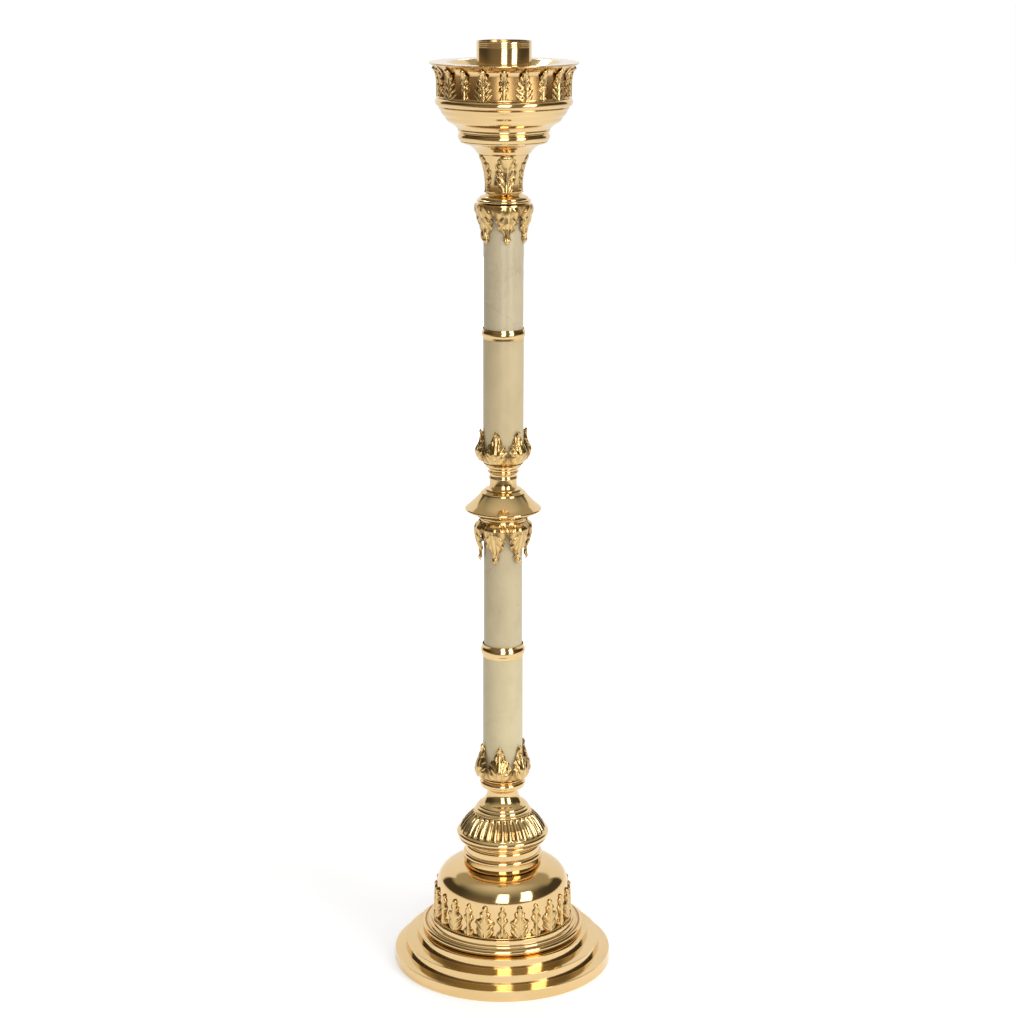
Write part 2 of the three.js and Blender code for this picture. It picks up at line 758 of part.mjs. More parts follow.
const bowlLeafHeight = bowlTop - bowlLeafDrop - bowlBandBase;
const bowlLeafFoot = bowlBandBase + bowlBandStrip / 2;
const bowlLeafRise = bowlLeafHeight - bowlBandStrip / 2;
makeLeafBand('bowl_leaf_band', {
  leaves: bowlLeaves,
  base: bowlBandBase,
  strip: bowlBandStrip,
  height: bowlLeafHeight,
  back: (level) => radiusOn(bowlOutline, bowlLeafFoot + bowlLeafRise * level) + fitGap + bowlLeafGap,
  thickness: bowlLeafThickness,
  start: -Math.PI / 2,
});
const panFloorTop = makeDripPan();
makeCandleSocket(panFloorTop);
makeTieRod();

export default candlestick;
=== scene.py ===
# %% [markdown]
# # A brass and marble paschal candlestick
#
# A paschal candlestick is a floor stand for one large candle. This one is a stack of turned, spun
# and cast brass pieces with four marble sleeves, all clamped on a steel rod. Nearly every piece is
# a solid of revolution, so most of the lesson is about one skill: draw half an outline, then spin
# it. The leaves are the other half of the work, because they are what the eye goes to.

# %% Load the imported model
import math

import bpy
from mathutils import Matrix, Vector


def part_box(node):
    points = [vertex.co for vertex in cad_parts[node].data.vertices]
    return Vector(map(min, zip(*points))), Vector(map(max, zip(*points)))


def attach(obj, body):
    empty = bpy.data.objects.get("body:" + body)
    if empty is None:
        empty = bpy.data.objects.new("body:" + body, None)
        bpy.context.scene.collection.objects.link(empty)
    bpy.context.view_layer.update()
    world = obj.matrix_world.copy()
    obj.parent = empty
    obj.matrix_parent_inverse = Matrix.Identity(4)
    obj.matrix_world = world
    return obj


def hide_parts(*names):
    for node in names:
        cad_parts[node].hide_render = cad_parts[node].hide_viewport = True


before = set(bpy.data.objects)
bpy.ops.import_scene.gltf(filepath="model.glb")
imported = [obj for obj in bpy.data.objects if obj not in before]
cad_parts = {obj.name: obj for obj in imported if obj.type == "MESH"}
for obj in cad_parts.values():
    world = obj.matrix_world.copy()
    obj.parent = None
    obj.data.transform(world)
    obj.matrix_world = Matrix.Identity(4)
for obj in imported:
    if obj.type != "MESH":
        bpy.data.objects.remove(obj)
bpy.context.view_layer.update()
MM = 0.001

# %% [markdown]
# ## Camera
#
# The photograph was taken from a little above the stand's top, with a longish lens that looks down.
# The ellipses of the foot and of the drip pan's rim give the pitch, the distance and the focal
# length, so the camera repeats those and nothing has to be scaled to fit.

# %% Camera
CAMERA_PLACE = (0.0040, -2.6668, 1.2617)
CAMERA_PITCH = 14.46
CAMERA_ROLL = -0.14
FOCAL_LENGTH = 82.3

camera_data = bpy.data.cameras.new("camera")
camera_data.sensor_width = 36.0
camera_data.lens = FOCAL_LENGTH
camera = bpy.data.objects.new("camera", camera_data)
bpy.context.scene.collection.objects.link(camera)
camera.location = CAMERA_PLACE
camera.rotation_euler = (math.radians(90 - CAMERA_PITCH), math.radians(CAMERA_ROLL), 0)
bpy.context.scene.camera = camera
print("camera at", CAMERA_PLACE, "looking", CAMERA_PITCH, "degrees down")

# %% [markdown]
# ## Starting each piece with a clean selection
#
# Operators act on whatever is selected, and the loaded CAD nodes are selected at first. Every piece
# therefore starts by leaving edit mode and deselecting all, as you would before adding a new mesh.

# %% Clean selection
def start_fresh():
    active = bpy.context.view_layer.objects.active
    if active and active.mode != "OBJECT":
        bpy.ops.object.mode_set(mode="OBJECT")
    bpy.ops.object.select_all(action="DESELECT")


def select_only(piece):
    start_fresh()
    piece.select_set(True)
    bpy.context.view_layer.objects.active = piece


def place_in_mesh(piece):
    """Applies the object's place, so that the object sits at the origin and the mesh holds the place."""
    select_only(piece)
    bpy.ops.object.transform_apply(location=True, rotation=True, scale=True)


def smooth_edges(piece, angle=18):
    """Smooth shading, apart from the edges that turn by more than the angle."""
    select_only(piece)
    bpy.ops.object.shade_smooth_by_angle(angle=math.radians(angle))


# %% [markdown]
# ## Outlines
#
# A turner reads a moulding as a row of coves, beads and fillets between two radii. The outlines
# here are written the same way. Each row has a share of the way from the inner to the outer radius,
# a share of the height, and sometimes a bulge: how far the curve to that row stands out from the
# straight line, as a share of its length. A negative bulge is a hollow.

# %% Outlines
def curved(rows, turn=9):
    """Points along the rows. Each bulging run is a circular arc with a point every few degrees."""
    points = [Vector((rows[0][0], rows[0][1]))]
    for before, row in zip(rows, rows[1:]):
        a, b = Vector(before[:2]), Vector(row[:2])
        bulge = row[2] if len(row) > 2 else 0
        half = 2 * math.atan(2 * abs(bulge))
        count = max(2, math.ceil(2 * math.degrees(half) / turn)) if bulge else 1
        across = Vector((b.y - a.y, a.x - b.x)) * (1 if bulge > 0 else -1)
        for k in range(1, count):
            angle = half * (2 * k / count - 1)
            along = 0.5 + 0.5 * math.sin(angle) / math.sin(half)
            out = (math.cos(angle) - math.cos(half)) / (2 * math.sin(half))
            points.append(a.lerp(b, along) + across * out)
        points.append(b)
    return points


def moulding(rows, inner, outer, base, height):
    """Sets unit rows between two radii and two levels, all in millimetres."""
    return [(inner + (outer - inner) * row[0], base + height * row[1], *row[2:]) for row in rows]


# %% [markdown]
# ## Painted shade in the hollows
#
# The hollows of the turnings are painted brown, as shade. For each point of an outline the two
# steepest lines out past its neighbours are measured, one upward and one downward. A point that
# sees less than a quarter turn lies in a hollow, and the piece stores that in an attribute called
# depth, from 0 on open surfaces to 1 at the bottom of a groove.

# %% Painted shade in the hollows
HIDDEN_START = 0.5
HIDDEN_RANGE = 0.3


def shelter(points, reach=9.0):
    """How deep each point lies, from the share of its outward half turn that its neighbours hide."""
    hollow = []
    for here in points:
        above = below = 0.0
        for other in points:
            out, rise = other.x - here.x, other.y - here.y
            if out <= 0 or abs(rise) > reach:
                continue
            steep = math.atan2(out, abs(rise)) / math.pi
            if rise > 0:
                above = max(above, steep)
            else:
                below = max(below, steep)
        hollow.append(min(1.0, max(0.0, (above + below - HIDDEN_START) / HIDDEN_RANGE)))
    return hollow


def paint_hollow_shade(piece, points):
    """Gives each vertex the depth of the outline's nearest point, which the brass paints as brown shade."""
    hollow = shelter(points)
    known = {}
    depth = piece.data.attributes.new("depth", "FLOAT", "POINT")
    for vertex in piece.data.vertices:
        r, z = math.hypot(vertex.co.x, vertex.co.y) / MM, vertex.co.z / MM
        key = (round(r, 1), round(z, 1))
        if key not in known:
            place = Vector((r, z))
            known[key] = hollow[min(range(len(points)), key=lambda i: (points[i] - place).length)]
        depth.data[vertex.index].value = known[key]


# %% [markdown]
# ## Spinning an outline
#
# A plane is added on the outline's first point and merged to a single vertex. That vertex is
# extruded from point to point, the sharp corners get a small vertex bevel, as a turner breaks an
# edge so that it catches light, and the closed outline is spun round the axis. The doubles at the
# seam are merged before the normals are recalculated.

# %% Spin
SHARP_CORNER = 24


def corner_angle(before, here, after):
    a, b = (here - before), (after - here)
    return math.degrees(a.angle(b)) if a.length and b.length else 0


def spun(name, points, steps=128, edge=0.25, hollows=True):
    """A closed outline in millimetres, from the outside's foot up and back down the inside."""
    start_fresh()
    first = points[0] * MM
    bpy.ops.mesh.primitive_plane_add(size=0.001, location=(first.x, 0, first.y))
    piece = bpy.context.object
    piece.name = piece.data.name = name
    bpy.ops.object.mode_set(mode="EDIT")
    bpy.ops.mesh.select_all(action="SELECT")
    bpy.ops.mesh.merge(type="CENTER")
    loop = [point * MM for point in points] + [first]
    for a, b in zip(loop, loop[1:]):
        bpy.ops.mesh.extrude_region_move(TRANSFORM_OT_translate={"value": (b.x - a.x, 0, b.y - a.y)})
    bpy.ops.mesh.select_all(action="SELECT")
    bpy.ops.mesh.remove_doubles(threshold=1e-7)
    bpy.ops.mesh.select_all(action="DESELECT")
    bpy.ops.object.mode_set(mode="OBJECT")
    count = len(points)
    sharp = [corner_angle(points[i - 1], points[i], points[(i + 1) % count]) > SHARP_CORNER
             for i in range(count)]
    for vertex in piece.data.vertices:
        place = Vector((vertex.co.x + piece.location.x, vertex.co.z + piece.location.z)) / MM
        nearest = min(range(count), key=lambda i: (points[i] - place).length)
        vertex.select = sharp[nearest]
    bpy.ops.object.mode_set(mode="EDIT")
    bpy.ops.mesh.select_mode(type="VERT")
    bpy.ops.mesh.bevel(offset=edge * MM, segments=2, affect="VERTICES", clamp_overlap=True)
    bpy.ops.mesh.select_all(action="SELECT")
    bpy.ops.mesh.spin(steps=steps, angle=math.tau, center=(0, 0, 0), axis=(0, 0, 1))
    bpy.ops.mesh.select_all(action="SELECT")
    bpy.ops.mesh.remove_doubles(threshold=2e-6)
    bpy.ops.mesh.normals_make_consistent(inside=False)
    bpy.ops.object.mode_set(mode="OBJECT")
    place_in_mesh(piece)
    smooth_edges(piece)
    if hollows:
        # Painted shade: the hollows get a depth that the brass paints brown.
        paint_hollow_shade(piece, points)
    print(name, "outline points", count, "faces", len(piece.data.polygons))
    return piece


# %% [markdown]
# ## Building materials from nodes
#
# Every finish here is procedural: noise over the object's own coordinates, colour ramps and a few
# sums. The helpers add one node each and return its output, so a finish reads from the inside out.

# %% Nodes
def add_node(tree, kind, **settings):
    node = tree.nodes.new(kind)
    for key, value in settings.items():
        setattr(node, key, value)
    return node


def new_material(name):
    material = bpy.data.materials.new(name)
    material.use_nodes = True
    tree = material.node_tree
    shader = tree.nodes["Principled BSDF"]
    coordinates = add_node(tree, "ShaderNodeTexCoord")
    return material, tree, shader, coordinates.outputs["Object"]


def noise_at(tree, where, scale, detail, roughness=0.55):
    node = add_node(tree, "ShaderNodeTexNoise")
    node.inputs["Scale"].default_value = scale
    node.inputs["Detail"].default_value = detail
    node.inputs["Roughness"].default_value = roughness
    tree.links.new(where, node.inputs["Vector"])
    return node.outputs["Fac"]


def ramp_of(tree, value, stops):
    node = add_node(tree, "ShaderNodeValToRGB")
    ramp = node.color_ramp
    while len(ramp.elements) < len(stops):
        ramp.elements.new(0.5)
    for element, (place, colour) in zip(ramp.elements, stops):
        element.position = place
        element.color = (*colour, 1)
    tree.links.new(value, node.inputs["Fac"])
    return node.outputs["Color"]


def between(tree, value, low, high):
    """Maps a value from 0 to 1 onto the run from low to high."""
    node = add_node(tree, "ShaderNodeMapRange")
    node.inputs["To Min"].default_value = low
    node.inputs["To Max"].default_value = high
    tree.links.new(value, node.inputs["Value"])
    return node.outputs["Result"]


# %% [markdown]
# Sums and mixes take numbers, colours or other outputs. Cast pieces and turned ones both store how
# deep each point lies, and their finishes read it back here.

# %% Sums and mixes
def fill(tree, sockets, values):
    """Sets numbers and colours on sockets, and links outputs to them."""
    for socket, value in zip(sockets, values):
        if isinstance(value, tuple):
            socket.default_value = (*value, 1)
        elif isinstance(value, (int, float)):
            socket.default_value = value
        else:
            tree.links.new(value, socket)


def math_of(tree, operation, *values):
    node = add_node(tree, "ShaderNodeMath", operation=operation)
    fill(tree, node.inputs, values)
    return node.outputs[0]


def mix_of(tree, factor, first, second):
    node = add_node(tree, "ShaderNodeMix", data_type="RGBA")
    fill(tree, (node.inputs["Factor"], node.inputs[6], node.inputs[7]), (factor, first, second))
    return node.outputs[2]


def stored_depth(tree):
    return add_node(tree, "ShaderNodeAttribute", attribute_name="depth").outputs["Fac"]


# %% [markdown]
# ## Polished brass
#
# The turned pieces are lacquered brass, polished nearly to a mirror. Three things keep it from
# looking like plastic: a colour that drifts a little over the surface and is painted brown where the
# depth attribute is high, which is painted shade in the hollows and tarnish on the bowl's wall behind
# its leaves, a roughness that is uneven where hands and cloths have been, and hair-fine lines round
# the axis that the lathe leaves. The lines read each point's distance from the axis and its height,
# so they run round every piece.

# %% Polished brass
def turned_coordinates(tree, where):
    """A vector of the distance from the axis and the height, the same all round the piece."""
    parts = add_node(tree, "ShaderNodeSeparateXYZ")
    tree.links.new(where, parts.inputs[0])
    flat = add_node(tree, "ShaderNodeCombineXYZ")
    tree.links.new(parts.outputs["X"], flat.inputs["X"])
    tree.links.new(parts.outputs["Y"], flat.inputs["Y"])
    length = add_node(tree, "ShaderNodeVectorMath", operation="LENGTH")
    tree.links.new(flat.outputs[0], length.inputs[0])
    both = add_node(tree, "ShaderNodeCombineXYZ")
    tree.links.new(length.outputs["Value"], both.inputs["X"])
    tree.links.new(parts.outputs["Z"], both.inputs["Z"])
    return both.outputs[0]


def bump(tree, shader, height, strength, distance):
    node = add_node(tree, "ShaderNodeBump")
    node.inputs["Strength"].default_value = strength
    node.inputs["Distance"].default_value = distance
    tree.links.new(height, node.inputs["Height"])
    tree.links.new(node.outputs["Normal"], shader.inputs["Normal"])


def make_polished_brass():
    material, tree, shader, where = new_material("polished_brass")
    drift = noise_at(tree, where, 14, detail=3)
    clean = ramp_of(tree, drift, [(0.3, (0.78, 0.55, 0.26)), (0.7, (0.84, 0.61, 0.31))])
    depth = stored_depth(tree)
    # Painted shade: the colour turns brown where depth is high; on the bowl's wall behind the leaves that
    # depth is tarnish.
    tree.links.new(mix_of(tree, depth, clean, (0.40, 0.20, 0.05)), shader.inputs["Base Color"])
    smear = between(tree, noise_at(tree, where, 38, detail=5), 0.05, 0.14)
    tree.links.new(math_of(tree, "MULTIPLY_ADD", depth, 0.28, smear), shader.inputs["Roughness"])
    lines = noise_at(tree, turned_coordinates(tree, where), 2600, detail=2)
    bump(tree, shader, lines, 0.12, 0.00003)
    shader.inputs["Metallic"].default_value = 1.0
    return material


polished_brass = make_polished_brass()
print(polished_brass.name, "nodes", len(polished_brass.node_tree.nodes))

# %% [markdown]
# ## Cast brass
#
# The leaves are sand cast and only brushed over, so they are duller and a little darker than the
# turnings, with brown shade painted into the veins, the grooves beside the midrib and towards the
# edges and the tip. Every leaf carries an attribute called depth, which is 1 at the bottom of a vein
# and 0 on the ridges. The colour and the roughness follow it, with random patches of tone added.

# %% Cast brass
def make_cast_brass():
    material, tree, shader, where = new_material("cast_brass")
    grain = noise_at(tree, where, 420, detail=4)
    patch = noise_at(tree, where, 60, detail=3)
    # Random patches of tone plus painted shade in the veins and at the edges, from the depth attribute.
    patches_and_painted_shade = math_of(tree, "MULTIPLY_ADD", patch, 0.35, stored_depth(tree))
    stops = [(0.15, (0.81, 0.58, 0.27)), (0.6, (0.60, 0.39, 0.15)), (1.0, (0.26, 0.15, 0.05))]
    tree.links.new(ramp_of(tree, patches_and_painted_shade, stops), shader.inputs["Base Color"])
    tree.links.new(between(tree, patches_and_painted_shade, 0.11, 0.34), shader.inputs["Roughness"])
    bump(tree, shader, grain, 0.25, 0.0002)
    shader.inputs["Metallic"].default_value = 1.0
    return material


cast_brass = make_cast_brass()
print(cast_brass.name, "nodes", len(cast_brass.node_tree.nodes))

# %% [markdown]
# ## Marble
#
# The sleeves are a cream marble, polished, with soft clouds and a few thin grey-brown veins. A vein
# is where a distorted noise crosses its middle value, so its distance from one half is turned into
# a thin line. Each sleeve was cut from another place in the block, so each has its own shift of
# the pattern and its own warmth.

# %% Marble
def make_marble(name, shift, light, dark, vein, vein_strength):
    material, tree, shader, where = new_material(name)
    place = add_node(tree, "ShaderNodeMapping")
    place.inputs["Location"].default_value = shift
    place.inputs["Scale"].default_value = (1.0, 1.0, 0.8)
    tree.links.new(where, place.inputs["Vector"])
    spot = place.outputs["Vector"]
    clouds = ramp_of(tree, noise_at(tree, spot, 26, detail=6, roughness=0.6), [(0.35, dark), (0.62, light)])
    crack = noise_at(tree, spot, 17, detail=5, roughness=0.62)
    away = math_of(tree, "ABSOLUTE", math_of(tree, "SUBTRACT", crack, 0.5))
    thin = ramp_of(tree, away, [(0.0, (1, 1, 1)), (0.014, (0, 0, 0))])
    patches = ramp_of(tree, noise_at(tree, spot, 9, detail=2), [(0.5, (0, 0, 0)), (0.66, (1, 1, 1))])
    amount = math_of(tree, "MULTIPLY", math_of(tree, "MULTIPLY", thin, patches), vein_strength)
    tree.links.new(mix_of(tree, amount, clouds, vein), shader.inputs["Base Color"])
    tree.links.new(between(tree, clouds, 0.22, 0.34), shader.inputs["Roughness"])
    bump(tree, shader, noise_at(tree, spot, 240, detail=3), 0.05, 0.0002)
    return material


# The shift of the pattern, the light and the dark of the clouds, the veins' colour and their strength.
MARBLE_TONES = {
    "marble_1": ((0.3, 0.1, 0.0), (0.67, 0.57, 0.34), (0.6, 0.5, 0.29), (0.36, 0.29, 0.2), 0.55),
    "marble_2": ((1.7, 0.4, 0.3), (0.6, 0.5, 0.3), (0.53, 0.43, 0.26), (0.4, 0.32, 0.22), 0.3),
    "marble_3": ((2.9, 1.2, 0.6), (0.62, 0.5, 0.285), (0.55, 0.44, 0.25), (0.4, 0.3, 0.2), 0.3),
    "marble_4": ((4.1, 2.2, 0.9), (0.58, 0.49, 0.315), (0.51, 0.43, 0.28), (0.4, 0.33, 0.24), 0.35),
}

# %% [markdown]
# ## Steel for the rod, washers and nuts
#
# The rod and its nuts are plain zinc-grey steel, seen only from underneath. These CAD nodes keep
# their shape and only get a finish, with a fine brushed grain.

# %% Steel
def make_steel():
    material, tree, shader, where = new_material("plain_steel")
    grain = noise_at(tree, where, 300, detail=3)
    tree.links.new(ramp_of(tree, grain, [(0.3, (0.36, 0.36, 0.37)), (0.7, (0.52, 0.52, 0.53))]),
                   shader.inputs["Base Color"])
    tree.links.new(between(tree, grain, 0.28, 0.46), shader.inputs["Roughness"])
    bump(tree, shader, grain, 0.2, 0.0001)
    shader.inputs["Metallic"].default_value = 1.0
    return material


plain_steel = make_steel()
STEEL_NODES = ("tie_rod", "clamp_plate", "base_washer", "base_nut", "top_washer", "top_nut")
for name in STEEL_NODES:
    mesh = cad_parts[name].data
    mesh.materials.clear()
    mesh.materials.append(plain_steel)
print("steel on", ", ".join(STEEL_NODES))

# %% [markdown]
# ## Handing a piece to its body
#
# Each new piece stands for one CAD node, rides on the body that carries that node, and names the
# material slot it is finished from.

# %% Finish a piece
BODY_OF = {"drip_pan": "drip_pan", "candle_socket": "candle_socket"}
SPIGOT = 3.0


def finish_piece(piece, node, material):
    piece.data.materials.clear()
    piece.data.materials.append(material)
    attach(piece, BODY_OF.get(node, "stand"))
    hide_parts(node)


def levels(node, spigot=0.0):
    """The base and the top of a node in millimetres, without the spigot that hides in the one below."""
    low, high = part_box(node)
    return low.z / MM + spigot, high.z / MM


def stacked(node, rows, inner, outer, bore, steps=128):
    """A turned piece that stands on the one below it, from its outline and its bore."""
    base, top = levels(node, SPIGOT)
    outside = curved(moulding(rows, inner, outer, base, top - base))
    points = outside + [Vector((bore, top)), Vector((bore, base))]
    finish_piece(spun(node + "_turned", points, steps), node, polished_brass)


# %% [markdown]
# ## Foot
#
# The foot is spun from sheet, so it is hollow, and its outside has three steps. The walls mirror
# the white floor and look light. The treads rise a little inwards, so they mirror the walls behind
# them, which in turn mirror the dim room: that double reflection is why they look brown.

# %% Foot
FOOT_OUTSIDE = [(133.1, 0.4), (132.6, 13.4), (120, 15.4), (119.5, 27.6), (105.9, 29.6), (105.4, 41.0)]
FOOT_INSIDE = [(79, 41.0), (79, 37.8), (102.7, 37.8), (102.7, 24.4), (116.8, 24.4), (116.8, 10.2),
               (129.4, 10.2), (129.9, 0)]
foot_points = [Vector(row) for row in FOOT_OUTSIDE + FOOT_INSIDE]
foot_points.insert(0, Vector((132.6, 0)))
finish_piece(spun("foot_spun", foot_points, 160, edge=0.35), "foot", polished_brass)

# %% [markdown]
# ## Ring moulding over the foot
#
# A half-round bead lies on the foot's top tread. A small cove and a fillet follow, then the wall
# on which the drum and its leaves stand.

# %% Ring moulding
FOOT_RING = [(0.74, 0), (0.757, 0.476, 0.34), (0.38, 0.56, -0.2), (0.36, 0.634), (0.16, 0.665),
             (0.1, 0.713, -0.2), (0.08, 1)]
stacked("foot_moulding", FOOT_RING, 88.0, 98.3, 76, steps=160)

# %% [markdown]
# ## Drum
#
# The drum's wall runs into its dome without an edge. A round corner of constant radius would show
# as a hard line in the reflections, so the shoulder is a superellipse: a square with soft corners,
# whose curvature changes slowly. The dark crescent in the photograph is the room seen in it. The CAD
# drum ends in a level seat. Here the dome runs on up past that seat and over the spool's foot, as
# the photograph's outline does.

# %% Drum
def shoulder(radius, base, height, across, up, stop, count=44):
    """Points from the wall up and in to the radius stop. across and up set how square it is."""
    points = []
    for k in range(count + 1):
        turn = math.pi / 2 * (k / count) ** 1.25
        r = radius * max(math.cos(turn), 0.0) ** (2 / across)
        z = base + height * math.sin(turn) ** (2 / up)
        if r < stop:
            break
        points.append(Vector((r, z)))
    return points


DOME_FOOT = 90
DOME_RISE = 6.7
drum_base, drum_top = levels("drum", SPIGOT)
dome_height = drum_top - DOME_FOOT + DOME_RISE
drum_shoulder = shoulder(81.0, DOME_FOOT, dome_height, across=4.2, up=2.8, stop=43.5)
drum_points = [Vector((81.4, drum_base))] + drum_shoulder
drum_points += [Vector((36, 125)), Vector((36, 121.5)), Vector((62, 119)), Vector((73, 111)),
                Vector((77.6, 98)), Vector((78.8, drum_base))]
finish_piece(spun("drum_spun", drum_points, 160), "drum", polished_brass)

# %% [markdown]
# ## Spool on the drum
#
# Two bands with upright walls and rounded tops, a hollow foot and a lip. The walls mirror the white
# floor, and the rounded tops mirror the dim room, so the spool reads as light and dark stripes.

# %% Spool on the drum
DRUM_NECK = [(0.5, 0), (0.15, 0.236, -0.12), (0.78, 0.25), (0.79, 0.42), (0.28, 0.575, 0.24), (0.42, 0.59),
             (0.43, 0.71), (0.12, 0.85, 0.2), (0.2, 0.868), (0.22, 0.9), (0.4, 0.925), (0.56, 0.978, -0.1),
             (0.69, 1)]
stacked("drum_neck", DRUM_NECK, 43.0, 49.4, 36)

# %% [markdown]
# ## Gadrooned knop
#
# Gadroons are the convex flutes over the knop's upper side. The knop is spun first, with eight
# columns to each of its 32 flutes, and then the valleys are pressed in: the depth follows the
# absolute cosine of the angle, which has round tops and sharp valleys, and fades at both ends.

# %% Gadrooned knop
GADROONS = 32
VALLEY_DEPTH = 3.7
KNOP = [(0.82, 0), (0.83, 0.089, 0.45), (0.86, 0.107), (0.88, 0.323, 0.36), (0.84, 0.347),
        (0.78, 0.43, 0.06), (0.62, 0.60, 0.05), (0.4, 0.78, 0.04), (0.2, 0.9, 0.03), (0.02, 0.988, 0.02),
        (0, 1)]


def fade(value, start, end):
    """0 before the start, 1 after the end, and a smooth rise between them."""
    t = min(1.0, max(0.0, (value - start) / (end - start)))
    return t * t * (3 - 2 * t)


knop_base, knop_top = levels("gadrooned_knop", SPIGOT)
knop_height = knop_top - knop_base
knop_points = curved(moulding(KNOP, 34.8, 56.4, knop_base, knop_height))
knop_points += [Vector((26, knop_top)), Vector((26, knop_base))]
knop = spun("gadrooned_knop_cast", knop_points, steps=GADROONS * 8)
for vertex in knop.data.vertices:
    x, y, z = vertex.co
    r = math.hypot(x, y)
    up = (z / MM - knop_base) / knop_height
    if r < 0.03 or up < 0.35:
        continue
    angle = math.atan2(y, x)
    valley = 1 - abs(math.cos(angle * GADROONS / 2))
    pressed = VALLEY_DEPTH * MM * valley * fade(up, 0.35, 0.44) * (1 - fade(up, 0.93, 0.985))
    vertex.co.x -= x / r * pressed * 0.8
    vertex.co.y -= y / r * pressed * 0.8
    vertex.co.z -= pressed * 0.6
finish_piece(knop, "gadrooned_knop", polished_brass)

# %% [markdown]
# ## Waisted collar
#
# Above the knop come small steps, a deep cove, a thin waist and the round collar that carries the
# first leaf cup.

# %% Waisted collar
COLLAR = [(0.99, 0), (0.97, 0.056, 0.3), (0.91, 0.069), (0.82, 0.149, 0.1), (0.74, 0.162),
          (0.63, 0.229, 0.15), (0.57, 0.251), (0.03, 0.487, -0.12), (0, 0.596, -0.05),
          (0.34, 0.736, -0.15), (0.48, 0.748), (0.5, 0.79), (0.36, 0.93, 0.28), (0.42, 0.945), (0.5, 1)]
stacked("knop_collar", COLLAR, 19.2, 34.4, 13, steps=112)

# %% [markdown]
# ## Marble sleeves
#
# The sleeves are plain cylinders with a broken edge. Their interest is all in the stone.

# %% Marble sleeves
for number in range(1, 5):
    node = f"marble_{number}"
    base, top = levels(node)
    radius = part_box(node)[1].x / MM
    points = [Vector((radius, base)), Vector((radius, top)), Vector((8, top)), Vector((8, base))]
    sleeve = spun(node + "_sleeve", points, 96, edge=0.5)
    finish_piece(sleeve, node, make_marble(node + "_stone", *MARBLE_TONES[node]))

# %% [markdown]
# ## Rings between two sleeves
#
# Each ring has a pocket on both sides. Seen from outside it is a fillet and a half-round bead.

# %% Rings
ROD_HOLE = 6.6
WEB = 3.7


def marble_ring(node, rows, inner, outer, web):
    """web is the level of the underside of the disc between the two pockets."""
    base, top = levels(node)
    outside = curved(moulding(rows, inner, outer, base, top - base))
    inside = [(24.4, top), (24.4, web + WEB), (ROD_HOLE, web + WEB), (ROD_HOLE, web), (24.5, web),
              (24.5, base)]
    inside = [Vector(row) for row in inside]
    finish_piece(spun(node + "_turned", outside + inside, 112, edge=0.2), node, polished_brass)


marble_ring("lower_ring", [(0.4, 0), (0.5, 0.203), (0.5, 0.785, 0.17), (0.35, 1)], 23.8, 26.6, 397.3)
marble_ring("upper_ring", [(0.4, 0), (0.5, 0.22), (0.5, 0.821, 0.14), (0.35, 1)], 23.8, 25.9, 782.6)

# %% [markdown]
# ## Saucer and spool in the middle
#
# The saucer is a thin-edged disc that throws a bright cone of reflections, and the spool above it
# widens in three lips, with a brown cove under each, to the leaf cup.

# %% Saucer and spool
SAUCER = [(0.2, 0), (0.88, 0.234, -0.03), (0.94, 0.264), (0.97, 0.377, 0.42), (0.18, 0.866, -0.02),
          (0.1, 0.941, 0.15), (0, 1)]
MID_NECK = [(0.36, 0), (0.31, 0.052, 0.3), (0.05, 0.083), (0.01, 0.33, -0.03), (0.02, 0.42),
            (0.1, 0.45, 0.2), (0.09, 0.475), (0.04, 0.5), (0.1, 0.63, -0.15), (0.18, 0.66),
            (0.19, 0.69, 0.2), (0.12, 0.715), (0.18, 0.82, -0.15), (0.34, 0.855), (0.37, 0.885, 0.2),
            (0.38, 0.92), (0.5, 0.965, -0.06), (0.57, 1)]
stacked("mid_saucer", SAUCER, 23.4, 44.9, 10)
stacked("mid_neck", MID_NECK, 16.1, 30.4, ROD_HOLE, steps=112)

# %% [markdown]
# ## Trumpet neck
#
# The neck opens like a trumpet under the bowl. Its foot is a low stack of steps.

# %% Trumpet neck
TRUMPET = [(0.39, 0), (0.38, 0.035, 0.2), (0.32, 0.045), (0.24, 0.092, 0.15), (0.18, 0.1),
           (0.05, 0.15, -0.1), (0.01, 0.184), (0.03, 0.415, -0.02), (0.18, 0.676, -0.04),
           (0.28, 0.777, -0.03), (0.34, 0.789), (0.44, 0.844, 0.1), (0.47, 0.855), (0.91, 0.965, -0.1),
           (0.95, 0.974), (1, 1, 0.2)]
stacked("vase_neck", TRUMPET, 18.6, 50.2, ROD_HOLE)

# %% [markdown]
# ## Bowl
#
# The bowl's underside is a ladder of fillets and quarter rounds. Above them its wall stands upright,
# and a hollow cone flares out to the pan. No cloth gets between the leaves, so the wall behind them
# is dull and brown.

# %% Bowl
BOWL = [(-0.03, 0), (0.01, 0.02), (0.01, 0.092, 0.2), (-0.01, 0.108, -0.2), (0.04, 0.122),
        (0.05, 0.152, 0.1), (0.41, 0.241, -0.06), (0.46, 0.249), (0.61, 0.314, 0.08), (0.65, 0.326),
        (0.8, 0.4, 0.08), (0.83, 0.41), (0.88, 0.44, 0.08), (0.86, 0.451), (0.88, 0.566, 0.42),
        (0.85, 0.572), (0.83, 0.879), (1.236, 1, -0.08)]
bowl_base, bowl_top = levels("bowl")
bowl_points = curved(moulding(BOWL, 51.2, 77.9, bowl_base, bowl_top - bowl_base))
BOWL_INSIDE = [(81.4, 0.0), (70.6, -10.4), (70.6, -40.1), (59.6, -61.5), (48.4, -80.2),
               (ROD_HOLE, -80.2), (ROD_HOLE, -86.2)]
bowl_points += [Vector((r, bowl_top + z)) for r, z in BOWL_INSIDE]
bowl = spun("bowl_turned", bowl_points, 160)
WALL_LEVELS = (1055.5, 1083)
WALL_RADII = (72, 75)
WALL_TARNISH = 0.65
